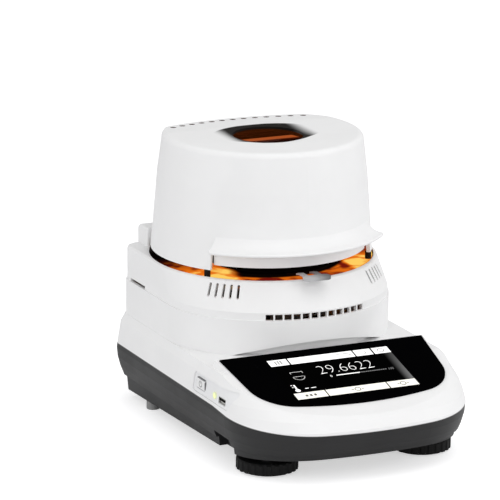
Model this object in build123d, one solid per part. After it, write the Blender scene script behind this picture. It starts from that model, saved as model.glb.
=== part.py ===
from build123d import *
import math
import os

os.makedirs("parts", exist_ok=True)

# Frame: origin under the middle of the instrument on the bench, +Z up, the display at -Y.
# All sizes are millimetres.

# Housing outline at its widest level
HOUSING_HALF_WIDTH = 104.0
HOUSING_FRONT = -149.0
HOUSING_REAR = 149.0
HOUSING_FRONT_RADIUS = 300.0
HOUSING_CORNER_RADIUS = 68.0
HOUSING_REAR_RADIUS = 15.0
WIDEST_Z = 44.0

# Joint line between dark tub and white cover
SPLIT_REAR_Z = 47.8
SPLIT_FRONT_Z = 41.5
SPLIT_BEND_Y = -55.0

# Walls and fits
WALL = 3.0
SHEET = 1.2
FIT_GAP = 0.3
RUNNING_GAP = 0.05

# Underside of the tub
TUB_REAR_Z = 6.0
TUB_BEND_Z = 13.0
TUB_BEND_Y = -75.0
TUB_FRONT_Z = 21.0
TUB_STEP_Z = 20.0
TUB_STEP_FRONT_Z = 25.5
TUB_FLOOR_Z = 16.5
TUB_FRONT_FLOOR_Z = 29.0
TUB_FLOOR_STEP_Y = -45.0
HATCH_DEPTH = 16.0
HATCH_FRONT = -79.0
HATCH_REAR = -51.0
HATCH_TOP_Z = 26.0

# White cover
CREASE_Z = 67.3
DECK_Z = 74.0
TIER_HALF_WIDTH = 97.0
TIER_FRONT = -37.0
TIER_REAR = 145.0
TIER_FRONT_RADIUS = 107.0
TIER_CORNER_RADIUS = 78.0
TIER_REAR_RADIUS = 14.0
TIER_TOP_Z = 104.0

# Display
DISPLAY_Y = -80.0
DISPLAY_Z = 70.1
DISPLAY_TILT = 14.8
LCD_WIDTH = 108.0
LCD_HEIGHT = 61.0
FACIA_TOP_HALF = 91.0
FACIA_LOW_HALF = 84.0
FACIA_TOP = 40.5
FACIA_LOW = -31.5
FACIA_NOSE = -44.6
FACIA_CORNER = 36.0
FACIA_THICK = 2.2
FACIA_PROUD = 1.2
FACIA_BORDER = 2.6
PEDESTAL_REAR_Y = -38.6

# Scoop behind the display
SCOOP_HALF_CHORD = 67.0
SCOOP_RISE = 11.2
SCOOP_DEPTH = 7.5

# Shoulder over the lower tier
COLLAR_STEP = 1.0
RIM_Z = 132.7
RIM_ROUND = 2.6
RIM_HALF_WIDTH = 96.0
RIM_FRONT = -22.8
RIM_REAR = 144.4
CHAMBER_Y = 74.7
OPENING_RADIUS = 93.5
OPENING_REAR = 124.0
LEDGE_Z = 127.0
LEDGE_THICK = 3.0
LEDGE_WIDTH = 5.5

# Ventilation
GRILLE_COUNT = 12
GRILLE_PITCH = 7.7
GRILLE_SLOT = 6.3
GRILLE_HEIGHT = 4.8
SLIT_COUNT = 5
SLIT_FIRST_ANGLE = 36.0
SLIT_PITCH_ANGLE = 3.5
SLIT_WIDTH = 2.2
SLIT_HEIGHT = 10.5
SLIT_Z = 124.3
LONG_SLOT_FRONT = 97.0
LONG_SLOT_REAR = 126.0
LONG_SLOT_HEIGHT = 2.6

# Hinge tower
TOWER_HALF_WIDTH = 82.0
TOWER_FRONT = 125.0
TOWER_REAR = 145.0
TOWER_TOP_Z = 148.5
HINGE_Y = 139.5
HINGE_Z = 143.0
PIN_RADIUS = 3.0
PIN_HALF_LENGTH = 70.0
ARM_X = 38.0
ARM_THICK = 8.0
ARM_EYE_RADIUS = 5.2
ARM_SLOT_GAP = 0.6

# Lid
LID_BASE_RADIUS = 92.3
LID_CREASE_RADIUS = 87.3
LID_TOP_RADIUS = 83.2
LID_BOTTOM_Z = 138.0
LID_CREASE_Z = 202.0
LID_TOP_Z = 235.5
LID_EDGE_RADIUS = 5.0
LID_REAR = 142.0
LID_REAR_RADIUS = 165.0
LID_CORNER_RADIUS = 14.0
LID_SLOPE_Y = 98.0
LID_SLOPE_DROP = 3.6
LID_RECESS_Y = 123.5
LID_RECESS_Z = 149.8
NOTCH_HALF_ANGLE = 52.0
NOTCH_TOP_Z = 150.8
BRIM_RADIUS = 104.6
BRIM_HALF_ANGLE = 50.0
BRIM_END_RADIUS = 3.0
WINDOW_Y = 64.3
WINDOW_RADIUS = 29.4
WINDOW_RIM_RADIUS = 37.0
GLASS_THICK = 2.0
REAR_VENT_COUNT = 13
REAR_VENT_PITCH = 10.0
REAR_VENT_INSET = 8.6
REAR_VENT_HALF_WIDTH = 2.7
REAR_VENT_HALF_DEPTH = 3.0

# Heater
HEATER_DROP = 13.0
HEATER_Z = LID_TOP_Z - HEATER_DROP
HEATER_OFFSET = 22.0
HEATER_RADIUS = 4.0
HEATER_HALF_LENGTH = 50.0
GUARD_DROP = 10.5
GUARD_Z = HEATER_Z - GUARD_DROP

# Drying chamber
PAN_Y = 64.5
PAN_RADIUS = 45.0
POT_CLEARANCE = 5.0
POT_RADIUS = PAN_RADIUS + POT_CLEARANCE
POT_FLOOR_Z = 112.0
PAN_HEIGHT = 7.0
PAN_FLOOR_Z = 123.9
PAN_SHEET = 0.8
LIFTER_CLEARANCE = 2.0
LIFTER_RING_WIDTH = 8.0
LIFTER_RING_INNER = PAN_RADIUS + LIFTER_CLEARANCE
LIFTER_RING_OUTER = LIFTER_RING_INNER + LIFTER_RING_WIDTH
HANDLE_Z = 135.0
HANDLE_FRONT = -35.0
HANDLE_HALF_WIDTH = 12.0
SHAFT_RADIUS = 4.0

# Feet
FOOT_X = 68.8
FOOT_Y = -84.7
WHEEL_RADIUS = 25.0
WHEEL_TOP_Z = 10.5
PAD_RADIUS = 21.0
PAD_THICK = 1.5
STUD_RADIUS = 4.0
STUD_TOP_Z = 37.0
BUSHING_RADIUS = 6.5
BUSHING_TOP_Z = 33.0
PEG_X = HOUSING_HALF_WIDTH - 16.0
PEG_Y = 97.0
PEG_RADIUS = 5.5

# Side control plate
PLATE_FRONT = -90.0
PLATE_SLANT = 8.5
PLATE_REAR = -16.0
PLATE_LOW_Z = 50.5
PLATE_HIGH_Z = 66.0
BUTTON_Y = -29.5
BUTTON_Z = 58.6
BUTTON_LENGTH = 17.0
BUTTON_HEIGHT = 9.4
LAMP_Y = -56.0
LAMP_Z = 56.4
LAMP_RADIUS = 3.0
SIDE_USB_Y = -69.5
SIDE_USB_Z = 55.4
SIDE_USB_LENGTH = 13.4
SIDE_USB_HEIGHT = 5.6

# Rear panel
REAR_WINDOW_HALF = 80.0
REAR_WINDOW_LOW = 18.5
REAR_WINDOW_HIGH = 40.0
REAR_PANEL_Y = 136.5
REAR_PANEL_THICK = 2.0
INLET_X = 62.0
CONNECTOR_Z = 27.0
INLET_WIDTH = 27.4
INLET_HEIGHT = 19.8
INLET_DEPTH = 22.0
SWITCH_X = 34.0
SWITCH_WIDTH = 13.0
SWITCH_HEIGHT = 19.0
SERIAL_X = -20.0
USB_B_X = -60.0

BIG = 600.0

# Smaller pieces
NOSE_Z = 51.5
BROW_Z = 58.0
BEVEL = 3.6
SHOULDER_Z = 110.0
SCREW_HEAD_RADIUS = 3.4
SCREW_RADIUS = 1.9
SCREW_X = HOUSING_HALF_WIDTH - 17.5
SCREW_FRONT_Y = -6.0
SCREW_REAR_Y = 118.0
SCREW_PLACES = [(side * SCREW_X, y) for y in (SCREW_FRONT_Y, SCREW_REAR_Y) for side in (-1, 1)]
POST_RADIUS = 4.5
NORMAL = (0.0, -math.sin(math.radians(DISPLAY_TILT)), math.cos(math.radians(DISPLAY_TILT)))
LCD_RECESS = 0.3
LCD_BODY = 4.0
BUTTON_FACE_X = 1.6 - HOUSING_HALF_WIDTH
BUTTON_BACK_X = 9.0 - HOUSING_HALF_WIDTH
SOCKET_DEPTH = 12.0
LEVEL_X = 88.2
LEVEL_Y = 132.5
LEVEL_RADIUS = 5.2
LEVEL_DEPTH = 2.4
SHIELD_CLEARANCE = 16.0
SHIELD_RADIUS = POT_RADIUS + SHIELD_CLEARANCE
SHIELD_FLOOR_Z = 106.5
SUPPORT_ARM = 40.0
CELL_TOP_Z = 62.0
CELL_HALF_WIDTH = 26.0
CELL_FRONT = 22.0
CELL_REAR = 112.0
CELL_LOW_Z = 24.0
BAND_SHORTER = 0.4
ARM_FOOT_THICK = 2.3
LINER_INSET = WALL + ARM_FOOT_THICK + FIT_GAP
CAP_LENGTH = 10.0
GUARD_WIRE = 1.0
GUARD_COUNT = 7
SENSOR_TIP_Y = 112.0
SENSOR_Z = 160.0
SENSOR_RADIUS = 1.5
BUMPER_RADIUS = 2.6
BUMPER_ANGLES = (-54.5, 54.5, -112.0, 112.0)
ROCKER_PIVOT_Y = REAR_PANEL_Y - 4.0
ROCKER_TILT = 10.0


def save(node, shape):
    """Writes one sub-part under its node name."""
    export_step(shape, "parts/" + node + ".step")


def block(x0, x1, y0, y1, z0, z1):
    """A box given by its limits on the three axes."""
    size = Box(x1 - x0, y1 - y0, z1 - z0)
    return Pos((x0 + x1) / 2, (y0 + y1) / 2, (z0 + z1) / 2) * size


def rod(radius, x, y, z0, z1):
    """An upright cylinder between two heights."""
    return Pos(x, y, (z0 + z1) / 2) * Cylinder(radius, z1 - z0)


def cross_rod(radius, x0, x1, y, z):
    """A cylinder lying along X."""
    return Pos((x0 + x1) / 2, y, z) * Rot(0, 90, 0) * Cylinder(radius, x1 - x0)


def side_prism(points, half_width=BIG / 2):
    """A profile of (y, z) points carried right across the instrument along X."""
    outline = make_face(Polyline([(0, y, z) for y, z in points], close=True))
    return extrude(outline, half_width, dir=(1, 0, 0), both=True)


class Plan:
    """A symmetric plan outline: bowed front, two front corners, straight sides, rounded rear."""

    def __init__(self, half_width, front, rear, front_radius, corner_radius, rear_radius):
        self.half_width = half_width
        self.front = front
        self.rear = rear
        self.front_radius = front_radius
        self.corner_radius = corner_radius
        self.rear_radius = rear_radius

    def face(self, z, inset=0.0):
        """The outline's face at height z, every edge moved inwards by inset."""
        w = self.half_width - inset
        front = self.front + inset
        rear = self.rear - inset
        big = self.front_radius - inset
        corner = self.corner_radius - inset
        back = max(self.rear_radius - inset, 1.0)
        front_centre = front + big
        corner_x = w - corner
        corner_y = front_centre - math.sqrt((big - corner) ** 2 - corner_x**2)
        lean = math.atan2(corner_x, front_centre - corner_y)
        turn_x = big * math.sin(lean)
        turn_y = front_centre - big * math.cos(lean)
        middle = (lean + math.pi / 2) / 2
        mid_x = corner_x + corner * math.sin(middle)
        mid_y = corner_y - corner * math.cos(middle)
        nook = back * (1 - math.sqrt(0.5))
        edges = [
            ThreePointArc((-turn_x, turn_y, z), (0, front, z), (turn_x, turn_y, z)),
            ThreePointArc((turn_x, turn_y, z), (mid_x, mid_y, z), (w, corner_y, z)),
            Line((w, corner_y, z), (w, rear - back, z)),
            ThreePointArc((w, rear - back, z), (w - nook, rear - nook, z), (w - back, rear, z)),
            Line((w - back, rear, z), (back - w, rear, z)),
            ThreePointArc((back - w, rear, z), (nook - w, rear - nook, z), (-w, rear - back, z)),
            Line((-w, rear - back, z), (-w, corner_y, z)),
            ThreePointArc((-w, corner_y, z), (-mid_x, mid_y, z), (-turn_x, turn_y, z)),
        ]
        return make_face(edges)


def stack(levels):
    """A ruled body through (plan, height, inset) levels."""
    return loft([plan.face(z, inset) for plan, z, inset in levels], ruled=True)


WIDEST = Plan(
    HOUSING_HALF_WIDTH,
    HOUSING_FRONT,
    HOUSING_REAR,
    HOUSING_FRONT_RADIUS,
    HOUSING_CORNER_RADIUS,
    HOUSING_REAR_RADIUS,
)
NOSE = Plan(HOUSING_HALF_WIDTH - 0.8, HOUSING_FRONT + 6.5, HOUSING_REAR - 0.8, 275.0, 62.0, 14.5)
BROW = Plan(HOUSING_HALF_WIDTH - 1.7, HOUSING_FRONT + 17.5, HOUSING_REAR - 1.7, 240.0, 50.0, 14.0)
CREASE = Plan(HOUSING_HALF_WIDTH - 3.0, HOUSING_FRONT + 36.0, HOUSING_REAR - 3.0, 215.0, 42.0, 13.0)
TIER = Plan(
    TIER_HALF_WIDTH,
    TIER_FRONT,
    TIER_REAR,
    TIER_FRONT_RADIUS,
    TIER_CORNER_RADIUS,
    TIER_REAR_RADIUS,
)
RIM = Plan(RIM_HALF_WIDTH, RIM_FRONT, RIM_REAR, 97.4, 93.0, 13.0)


def split_prism(above):
    """Everything above or below the joint line between tub and cover."""
    line = [
        (BIG, SPLIT_REAR_Z),
        (SPLIT_BEND_Y, SPLIT_REAR_Z),
        (HOUSING_FRONT, SPLIT_FRONT_Z),
        (-BIG, SPLIT_FRONT_Z),
    ]
    edge = BIG if above else -BIG
    return side_prism(line + [(-BIG, edge), (BIG, edge)])


def on_display(shape):
    """Places a shape drawn flat, +Y up the slope, in the plane of the display."""
    return Pos(0, DISPLAY_Y, DISPLAY_Z) * Rot(DISPLAY_TILT, 0, 0) * shape


def facia_outline(border=0.0):
    """The display plate's outline: straight top, sides drawn in, bowed bottom."""
    top = FACIA_TOP + border
    top_half = FACIA_TOP_HALF + border
    low = (FACIA_LOW_HALF + border, FACIA_LOW - border)
    edges = [
        Line((-top_half, top), (top_half, top)),
        Line((top_half, top), low),
        ThreePointArc(low, (0, FACIA_NOSE - border), (-low[0], low[1])),
        Line((-low[0], low[1]), (-top_half, top)),
    ]
    outline = make_face(edges)
    corners = outline.vertices().sort_by(Axis.Y)[:2]
    return fillet(corners, FACIA_CORNER + border)


def skirt_form(inset=0.0):
    """The white skirt and deck as a solid, every wall moved inwards by inset."""
    body = stack(
        [
            (WIDEST, WIDEST_Z - 8.0, inset - 0.9),
            (WIDEST, WIDEST_Z, inset),
            (NOSE, NOSE_Z, inset),
            (BROW, BROW_Z, inset),
            (CREASE, CREASE_Z, inset),
            (CREASE, DECK_Z, inset + BEVEL),
        ]
    )
    deck = DECK_Z - inset
    low = FACIA_PROUD + inset / math.cos(math.radians(DISPLAY_TILT))
    slope = math.tan(math.radians(DISPLAY_TILT))
    front_z = DISPLAY_Z - low + slope * (-BIG - DISPLAY_Y)
    meet_y = DISPLAY_Y + (deck - DISPLAY_Z + low) / slope
    return body & side_prism([(BIG, 0), (BIG, deck), (meet_y, deck), (-BIG, front_z), (-BIG, -BIG)])


def tier_form(inset=0.0, low=DECK_Z - 8.0, high=TIER_TOP_Z):
    """The upright lower tier behind the display."""
    return extrude(TIER.face(low, inset), high - low)


def pedestal(border, drop, depth):
    """The wedge that carries the display plate above the deck."""
    face = on_display(Pos(0, 0, -drop) * facia_outline(border))
    wedge = extrude(face, amount=-depth, taper=-28)
    return wedge & block(-BIG, BIG, -BIG, PEDESTAL_REAR_Y + border - FACIA_BORDER, 0, BIG)


def scoop_arch(grow=0.0):
    """The flat arch of the scoop, carried along Y."""
    radius = (SCOOP_HALF_CHORD**2 + SCOOP_RISE**2) / (2 * SCOOP_RISE)
    centre_z = DECK_Z + SCOOP_RISE - radius
    disc = Pos(0, 0, centre_z) * Rot(90, 0, 0) * Cylinder(radius + grow, 240.0)
    return disc & block(-BIG, BIG, -BIG, 60, DECK_Z - grow, BIG)


def side_window(grow, height_grow=None):
    """The opening of the side control plate, slanted in front, from the left side inwards."""
    up = grow if height_grow is None else height_grow
    low = PLATE_LOW_Z - up
    high = PLATE_HIGH_Z + up
    corners = [
        (PLATE_REAR + grow, low),
        (PLATE_REAR + grow, high),
        (PLATE_FRONT - grow, high),
        (PLATE_FRONT + PLATE_SLANT - grow, low),
    ]
    cut = side_prism(corners) & block(-HOUSING_HALF_WIDTH - 10, -HOUSING_HALF_WIDTH + 30, -BIG, BIG, 0, BIG)
    return fillet(cut.edges().filter_by(Axis.X), 3.0)


def top_cover():
    """White cover: skirt, deck, display bed and the lower tier up to the grille line."""
    outer = skirt_form() + tier_form() + pedestal(FACIA_BORDER, FACIA_PROUD, 14.0)
    inner = skirt_form(WALL) + tier_form(WALL, DECK_Z - 12.0, TIER_TOP_Z + 1.0)
    inner += pedestal(FACIA_BORDER - WALL, FACIA_PROUD + FACIA_THICK + WALL, 12.0)
    cover = outer - inner
    cover += (scoop_arch(WALL) & tier_form(WALL - 0.5)) - tier_form(SCOOP_DEPTH + WALL, 0)
    cover -= scoop_arch() - tier_form(SCOOP_DEPTH, 0, BIG)
    bed = on_display(Pos(0, 0, -FACIA_THICK) * facia_outline(FIT_GAP / 2))
    cover -= extrude(bed, amount=20.0, dir=NORMAL)
    module = Box(LCD_WIDTH + 8.0, LCD_HEIGHT + 8.0, 40.0)
    cover -= on_display(module)
    cover -= side_window(0.0)
    cover = cover & split_prism(True)
    room = skirt_form(WALL / 2) + tier_form(WALL / 2, DECK_Z - 12.0)
    for x, y in SCREW_PLACES:
        post = rod(POST_RADIUS, x, y, TUB_FLOOR_Z, TIER_TOP_Z - 6.0)
        outer = math.copysign(HOUSING_HALF_WIDTH, x)
        post += block(min(x, outer), max(x, outer), y - 1, y + 1, SPLIT_REAR_Z + 4, TIER_TOP_Z - 6.0)
        post -= rod(SCREW_RADIUS, x, y, 0, TUB_FLOOR_Z + 9.0)
        cover += post & (room + block(-BIG, BIG, -BIG, BIG, 0, WIDEST_Z))
    return cover


def tub_form(inset=0.0):
    """The dark tub's outer body, tucked in towards its foot, with a step above the underside."""
    upper = stack(
        [
            (WIDEST, TUB_STEP_Z - 6.0, inset + 8.0),
            (WIDEST, TUB_STEP_Z, inset + 6.2),
            (WIDEST, TUB_STEP_Z + 8.0, inset + 3.0),
            (WIDEST, TUB_STEP_Z + 16.0, inset + 0.8),
            (WIDEST, WIDEST_Z, inset),
            (NOSE, NOSE_Z, inset),
        ]
    )
    upper &= side_prism(
        [
            (BIG, TUB_STEP_Z - inset),
            (TUB_BEND_Y, TUB_STEP_Z - inset),
            (HOUSING_FRONT, TUB_STEP_FRONT_Z - inset),
            (-BIG, TUB_STEP_FRONT_Z - inset),
            (-BIG, BIG),
            (BIG, BIG),
        ]
    )
    lower = stack(
        [
            (WIDEST, 0.0, inset + 10.6),
            (WIDEST, TUB_STEP_Z, inset + 8.4),
            (WIDEST, TUB_STEP_Z + 8.0, inset + 5.4),
        ]
    )
    return upper + lower


def base_tub():
    """Dark lower housing with its sloping underside, foot bosses, hatches and rear window."""
    underside = side_prism(
        [
            (BIG, TUB_REAR_Z),
            (HOUSING_REAR, TUB_REAR_Z),
            (TUB_BEND_Y, TUB_BEND_Z),
            (HOUSING_FRONT, TUB_FRONT_Z),
            (-BIG, TUB_FRONT_Z),
            (-BIG, BIG),
            (BIG, BIG),
        ]
    )
    room = side_prism(
        [
            (BIG, TUB_FLOOR_Z),
            (TUB_FLOOR_STEP_Y, TUB_FLOOR_Z),
            (TUB_FLOOR_STEP_Y, TUB_FRONT_FLOOR_Z),
            (-BIG, TUB_FRONT_FLOOR_Z),
            (-BIG, BIG),
            (BIG, BIG),
        ]
    )
    tub = (tub_form() & underside) - (tub_form(WALL) & room)
    for side in (-1, 1):
        tub += rod(BUSHING_RADIUS + 3.0, side * FOOT_X, FOOT_Y, TUB_BEND_Z + 2.0, BUSHING_TOP_Z)
        tub -= rod(BUSHING_RADIUS + RUNNING_GAP, side * FOOT_X, FOOT_Y, 0, BIG / 4)
        outer = side * (HOUSING_HALF_WIDTH + 10.0)
        inner = side * (HOUSING_HALF_WIDTH - HATCH_DEPTH)
        tub -= block(min(outer, inner), max(outer, inner), HATCH_FRONT, HATCH_REAR, 0, HATCH_TOP_Z)
        tub -= rod(PEG_RADIUS - 1.5 + RUNNING_GAP, side * PEG_X, PEG_Y, 0, TUB_FLOOR_Z - 1.0)
    tub -= block(
        -REAR_WINDOW_HALF,
        REAR_WINDOW_HALF,
        REAR_PANEL_Y,
        BIG,
        REAR_WINDOW_LOW,
        REAR_WINDOW_HIGH,
    )
    tub = tub & split_prism(False)
    for x, y in SCREW_PLACES:
        tub -= rod(SCREW_HEAD_RADIUS + 0.4, x, y, 0, TUB_FLOOR_Z - 3.0)
        tub -= rod(SCREW_RADIUS + RUNNING_GAP, x, y, 0, TUB_FLOOR_Z + 1.0)
    return tub


def cover_screws():
    """Four pan-head screws that come up through the tub's floor."""
    screws = Part()
    for x, y in SCREW_PLACES:
        screws += rod(SCREW_HEAD_RADIUS, x, y, TUB_FLOOR_Z - 5.6, TUB_FLOOR_Z - 3.0)
        screws += rod(SCREW_RADIUS, x, y, TUB_FLOOR_Z - 3.5, TUB_FLOOR_Z + 8.0)
        screws -= block(x - 2.2, x + 2.2, y - 0.4, y + 0.4, 0, TUB_FLOOR_Z - 4.4)
        screws -= block(x - 0.4, x + 0.4, y - 2.2, y + 2.2, 0, TUB_FLOOR_Z - 4.4)
    return screws


def display_facia():
    """Glossy black plate with a window for the touch panel."""
    plate = extrude(on_display(facia_outline()), amount=-FACIA_THICK, dir=NORMAL)
    window = Box(LCD_WIDTH + FIT_GAP, LCD_HEIGHT + FIT_GAP, 20.0)
    return plate - on_display(window)


def lcd_panel():
    """Touch panel: glass in the facia's window and a metal-backed module behind it."""
    glass = Pos(0, 0, -LCD_RECESS - FACIA_THICK / 2) * Box(LCD_WIDTH, LCD_HEIGHT, FACIA_THICK)
    body = Pos(0, 0, -FACIA_THICK - LCD_RECESS - LCD_BODY / 2) * Box(
        LCD_WIDTH + 6.0, LCD_HEIGHT + 6.0, LCD_BODY
    )
    return on_display(glass + body)


def display_board():
    """Circuit board behind the touch panel, on four posts."""
    top = -FACIA_THICK - LCD_RECESS - LCD_BODY
    board = Pos(0, 0, top - 6.0 - 0.8) * Box(LCD_WIDTH, LCD_HEIGHT, 1.6)
    chip = Pos(10, 5, top - 6.0 - 2.6) * Box(18, 18, 2.0)
    for x in (-45.0, 45.0):
        for y in (-24.0, 24.0):
            board += Pos(x, y, top - 3.0) * Cylinder(2.5, 6.0)
    return on_display(board + chip)


def side_panel():
    """Control plate in the left skirt, held from behind by its flange."""
    plate = (skirt_form(0.8) - skirt_form(WALL + FIT_GAP)) & side_window(-FIT_GAP / 2)
    flange = (skirt_form(WALL + FIT_GAP) - skirt_form(WALL + 1.8)) & side_window(2.0, 1.6)
    panel = plate + flange
    reach = HOUSING_HALF_WIDTH
    button = block(
        -reach - 9,
        -reach + 20,
        BUTTON_Y - BUTTON_LENGTH / 2,
        BUTTON_Y + BUTTON_LENGTH / 2,
        BUTTON_Z - BUTTON_HEIGHT / 2,
        BUTTON_Z + BUTTON_HEIGHT / 2,
    )
    panel -= fillet(button.edges().filter_by(Axis.X), 2.5)
    panel -= cross_rod(LAMP_RADIUS, -reach - 9, -reach + 20, LAMP_Y, LAMP_Z)
    panel -= block(
        -reach - 9,
        -reach + 20,
        SIDE_USB_Y - SIDE_USB_LENGTH / 2,
        SIDE_USB_Y + SIDE_USB_LENGTH / 2,
        SIDE_USB_Z - SIDE_USB_HEIGHT / 2,
        SIDE_USB_Z + SIDE_USB_HEIGHT / 2,
    )
    return panel


def power_button():
    """Rounded push button with a ring mark cut in its face."""
    gap = FIT_GAP
    body = block(
        BUTTON_FACE_X,
        BUTTON_BACK_X,
        BUTTON_Y - BUTTON_LENGTH / 2 + gap,
        BUTTON_Y + BUTTON_LENGTH / 2 - gap,
        BUTTON_Z - BUTTON_HEIGHT / 2 + gap,
        BUTTON_Z + BUTTON_HEIGHT / 2 - gap,
    )
    body = fillet(body.edges().filter_by(Axis.X), 2.2)
    return chamfer(body.faces().sort_by(Axis.X)[0].edges(), 0.4)


def status_led():
    """Round lamp lens with its flange behind the plate."""
    return cross_rod(
        LAMP_RADIUS - RUNNING_GAP, BUTTON_FACE_X, BUTTON_FACE_X + 5.9, LAMP_Y, LAMP_Z
    )


def usb_port_side():
    """USB socket shell with its tongue, behind the control plate."""
    half_y = SIDE_USB_LENGTH / 2 - RUNNING_GAP
    half_z = SIDE_USB_HEIGHT / 2 - RUNNING_GAP
    front = BUTTON_FACE_X + 0.8
    shell = block(front, front + SOCKET_DEPTH, SIDE_USB_Y - half_y, SIDE_USB_Y + half_y,
                  SIDE_USB_Z - half_z, SIDE_USB_Z + half_z)
    shell -= block(front - 1, front + SOCKET_DEPTH - 1, SIDE_USB_Y - half_y + 0.6,
                   SIDE_USB_Y + half_y - 0.6, SIDE_USB_Z - half_z + 0.5, SIDE_USB_Z + half_z - 0.5)
    shell += block(front + 1, front + SOCKET_DEPTH - 0.5, SIDE_USB_Y - half_y + 1.2,
                   SIDE_USB_Y + half_y - 1.2, SIDE_USB_Z - half_z + 0.45, SIDE_USB_Z - half_z + 1.8)
    return shell


def chamber_disc(radius, low, high, rear):
    """A disc round the chamber axis, cut straight along the hinge tower."""
    return rod(radius, 0, CHAMBER_Y, low, high) & block(-BIG, BIG, -BIG, rear, 0, BIG)


def collar_form(inset=0.0):
    """The shoulder between grille line and rim."""
    low = Plan(
        TIER_HALF_WIDTH - COLLAR_STEP,
        TIER_FRONT + COLLAR_STEP,
        RIM_REAR,
        TIER_FRONT_RADIUS - COLLAR_STEP,
        TIER_CORNER_RADIUS - COLLAR_STEP,
        TIER_REAR_RADIUS - COLLAR_STEP,
    )
    top = RIM_Z - inset
    return stack(
        [
            (low, TIER_TOP_Z, inset),
            (low, SHOULDER_Z, inset + 0.2),
            (RIM, top - RIM_ROUND, inset),
            (RIM, top - RIM_ROUND * 0.3, inset + RIM_ROUND * 0.3),
            (RIM, top, inset + RIM_ROUND),
        ]
    )


def chamber_collar():
    """White shoulder with the chamber opening, its ledge, and the ventilation."""
    collar = collar_form() - collar_form(WALL)
    skirt = chamber_disc(OPENING_RADIUS + 2.0, LEDGE_Z - LEDGE_THICK, RIM_Z - 1.0, OPENING_REAR + 2.0)
    collar += skirt & collar_form(0.8)
    collar -= chamber_disc(OPENING_RADIUS, LEDGE_Z, BIG, OPENING_REAR)
    collar -= chamber_disc(OPENING_RADIUS - LEDGE_WIDTH, 0, BIG, OPENING_REAR - LEDGE_WIDTH)
    centre_y = TIER_FRONT + TIER_FRONT_RADIUS
    step = math.degrees(GRILLE_PITCH / TIER_FRONT_RADIUS)
    for i in range(GRILLE_COUNT):
        angle = (i - (GRILLE_COUNT - 1) / 2) * step
        slot = Pos(0, -TIER_FRONT_RADIUS, TIER_TOP_Z) * Box(GRILLE_SLOT, 16.0, 2 * GRILLE_HEIGHT)
        collar -= Pos(0, centre_y, 0) * Rot(0, 0, angle) * slot
    for side in (-1, 1):
        for i in range(SLIT_COUNT):
            angle = side * (SLIT_FIRST_ANGLE + i * SLIT_PITCH_ANGLE)
            slit = Box(SLIT_WIDTH, 30.0, SLIT_HEIGHT)
            slit = fillet(slit.edges().filter_by(Axis.Y), SLIT_WIDTH * 0.45)
            collar -= Pos(0, CHAMBER_Y, 0) * Rot(0, 0, angle) * Pos(0, -104.0, SLIT_Z) * slit
        outer = side * (TIER_HALF_WIDTH + 5)
        inner = side * (TIER_HALF_WIDTH - 8)
        collar -= block(min(outer, inner), max(outer, inner), LONG_SLOT_FRONT, LONG_SLOT_REAR,
                        TIER_TOP_Z - 1, TIER_TOP_Z + LONG_SLOT_HEIGHT)
    collar -= rod(LEVEL_RADIUS + RUNNING_GAP, LEVEL_X, LEVEL_Y, RIM_Z - LEVEL_DEPTH, BIG)
    return collar


def bubble_level():
    """Round level let into the shoulder's rear corner."""
    return rod(LEVEL_RADIUS, LEVEL_X, LEVEL_Y, RIM_Z - LEVEL_DEPTH, RIM_Z + 0.6)


def chamber_ring():
    """Polished steel tray round the pot, with a raised outer lip."""
    edge = FIT_GAP
    ring = chamber_disc(OPENING_RADIUS - edge, LEDGE_Z, RIM_Z - 1.2, OPENING_REAR - edge)
    ring -= chamber_disc(OPENING_RADIUS - edge - SHEET, LEDGE_Z + SHEET, BIG, OPENING_REAR - edge - SHEET)
    return ring - rod(POT_RADIUS - SHEET, 0, PAN_Y, 0, BIG)


def chamber_pot():
    """Steel pot hung under the tray by its flange."""
    pot = rod(POT_RADIUS, 0, PAN_Y, POT_FLOOR_Z, LEDGE_Z)
    pot += rod(POT_RADIUS + 3.5, 0, PAN_Y, LEDGE_Z - SHEET, LEDGE_Z)
    pot -= rod(POT_RADIUS - SHEET, 0, PAN_Y, POT_FLOOR_Z + SHEET, BIG)
    return pot - rod(SHAFT_RADIUS + 3.0, 0, PAN_Y, 0, BIG)


def shield_rear():
    """Where the shield's bowl is cut straight in front of the hinge tower."""
    return OPENING_REAR - LEDGE_WIDTH - FIT_GAP


def heat_shield():
    """Bowl under the pot that keeps heat from the weighing cell."""
    top = LEDGE_Z
    bowl = rod(SHIELD_RADIUS, 0, PAN_Y, SHIELD_FLOOR_Z, top)
    bowl -= rod(SHIELD_RADIUS - SHEET, 0, PAN_Y, SHIELD_FLOOR_Z + SHEET, BIG)
    bowl &= block(-BIG, BIG, -BIG, shield_rear(), 0, BIG)
    return bowl - rod(SHAFT_RADIUS + 4.0, 0, PAN_Y, 0, BIG)


def pan_support():
    """Three-armed carrier of the sample pan."""
    hub = rod(7.0, 0, PAN_Y, PAN_FLOOR_Z - 6.0, PAN_FLOOR_Z - 1.6)
    for angle in (90, 210, 330):
        arm = Pos(SUPPORT_ARM / 2, 0, 0) * Box(SUPPORT_ARM, 4.0, 1.6)
        hub += Pos(0, PAN_Y, PAN_FLOOR_Z - 2.4) * Rot(0, 0, angle) * arm
        tip = Pos(SUPPORT_ARM - 2.0, 0, 0.8) * Cylinder(1.6, 1.6)
        hub += Pos(0, PAN_Y, PAN_FLOOR_Z - 1.6) * Rot(0, 0, angle) * tip
    return hub


def weigh_shaft():
    """Shaft from the weighing cell up to the pan support."""
    return rod(SHAFT_RADIUS, 0, PAN_Y, CELL_TOP_Z, PAN_FLOOR_Z - 6.0)


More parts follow.
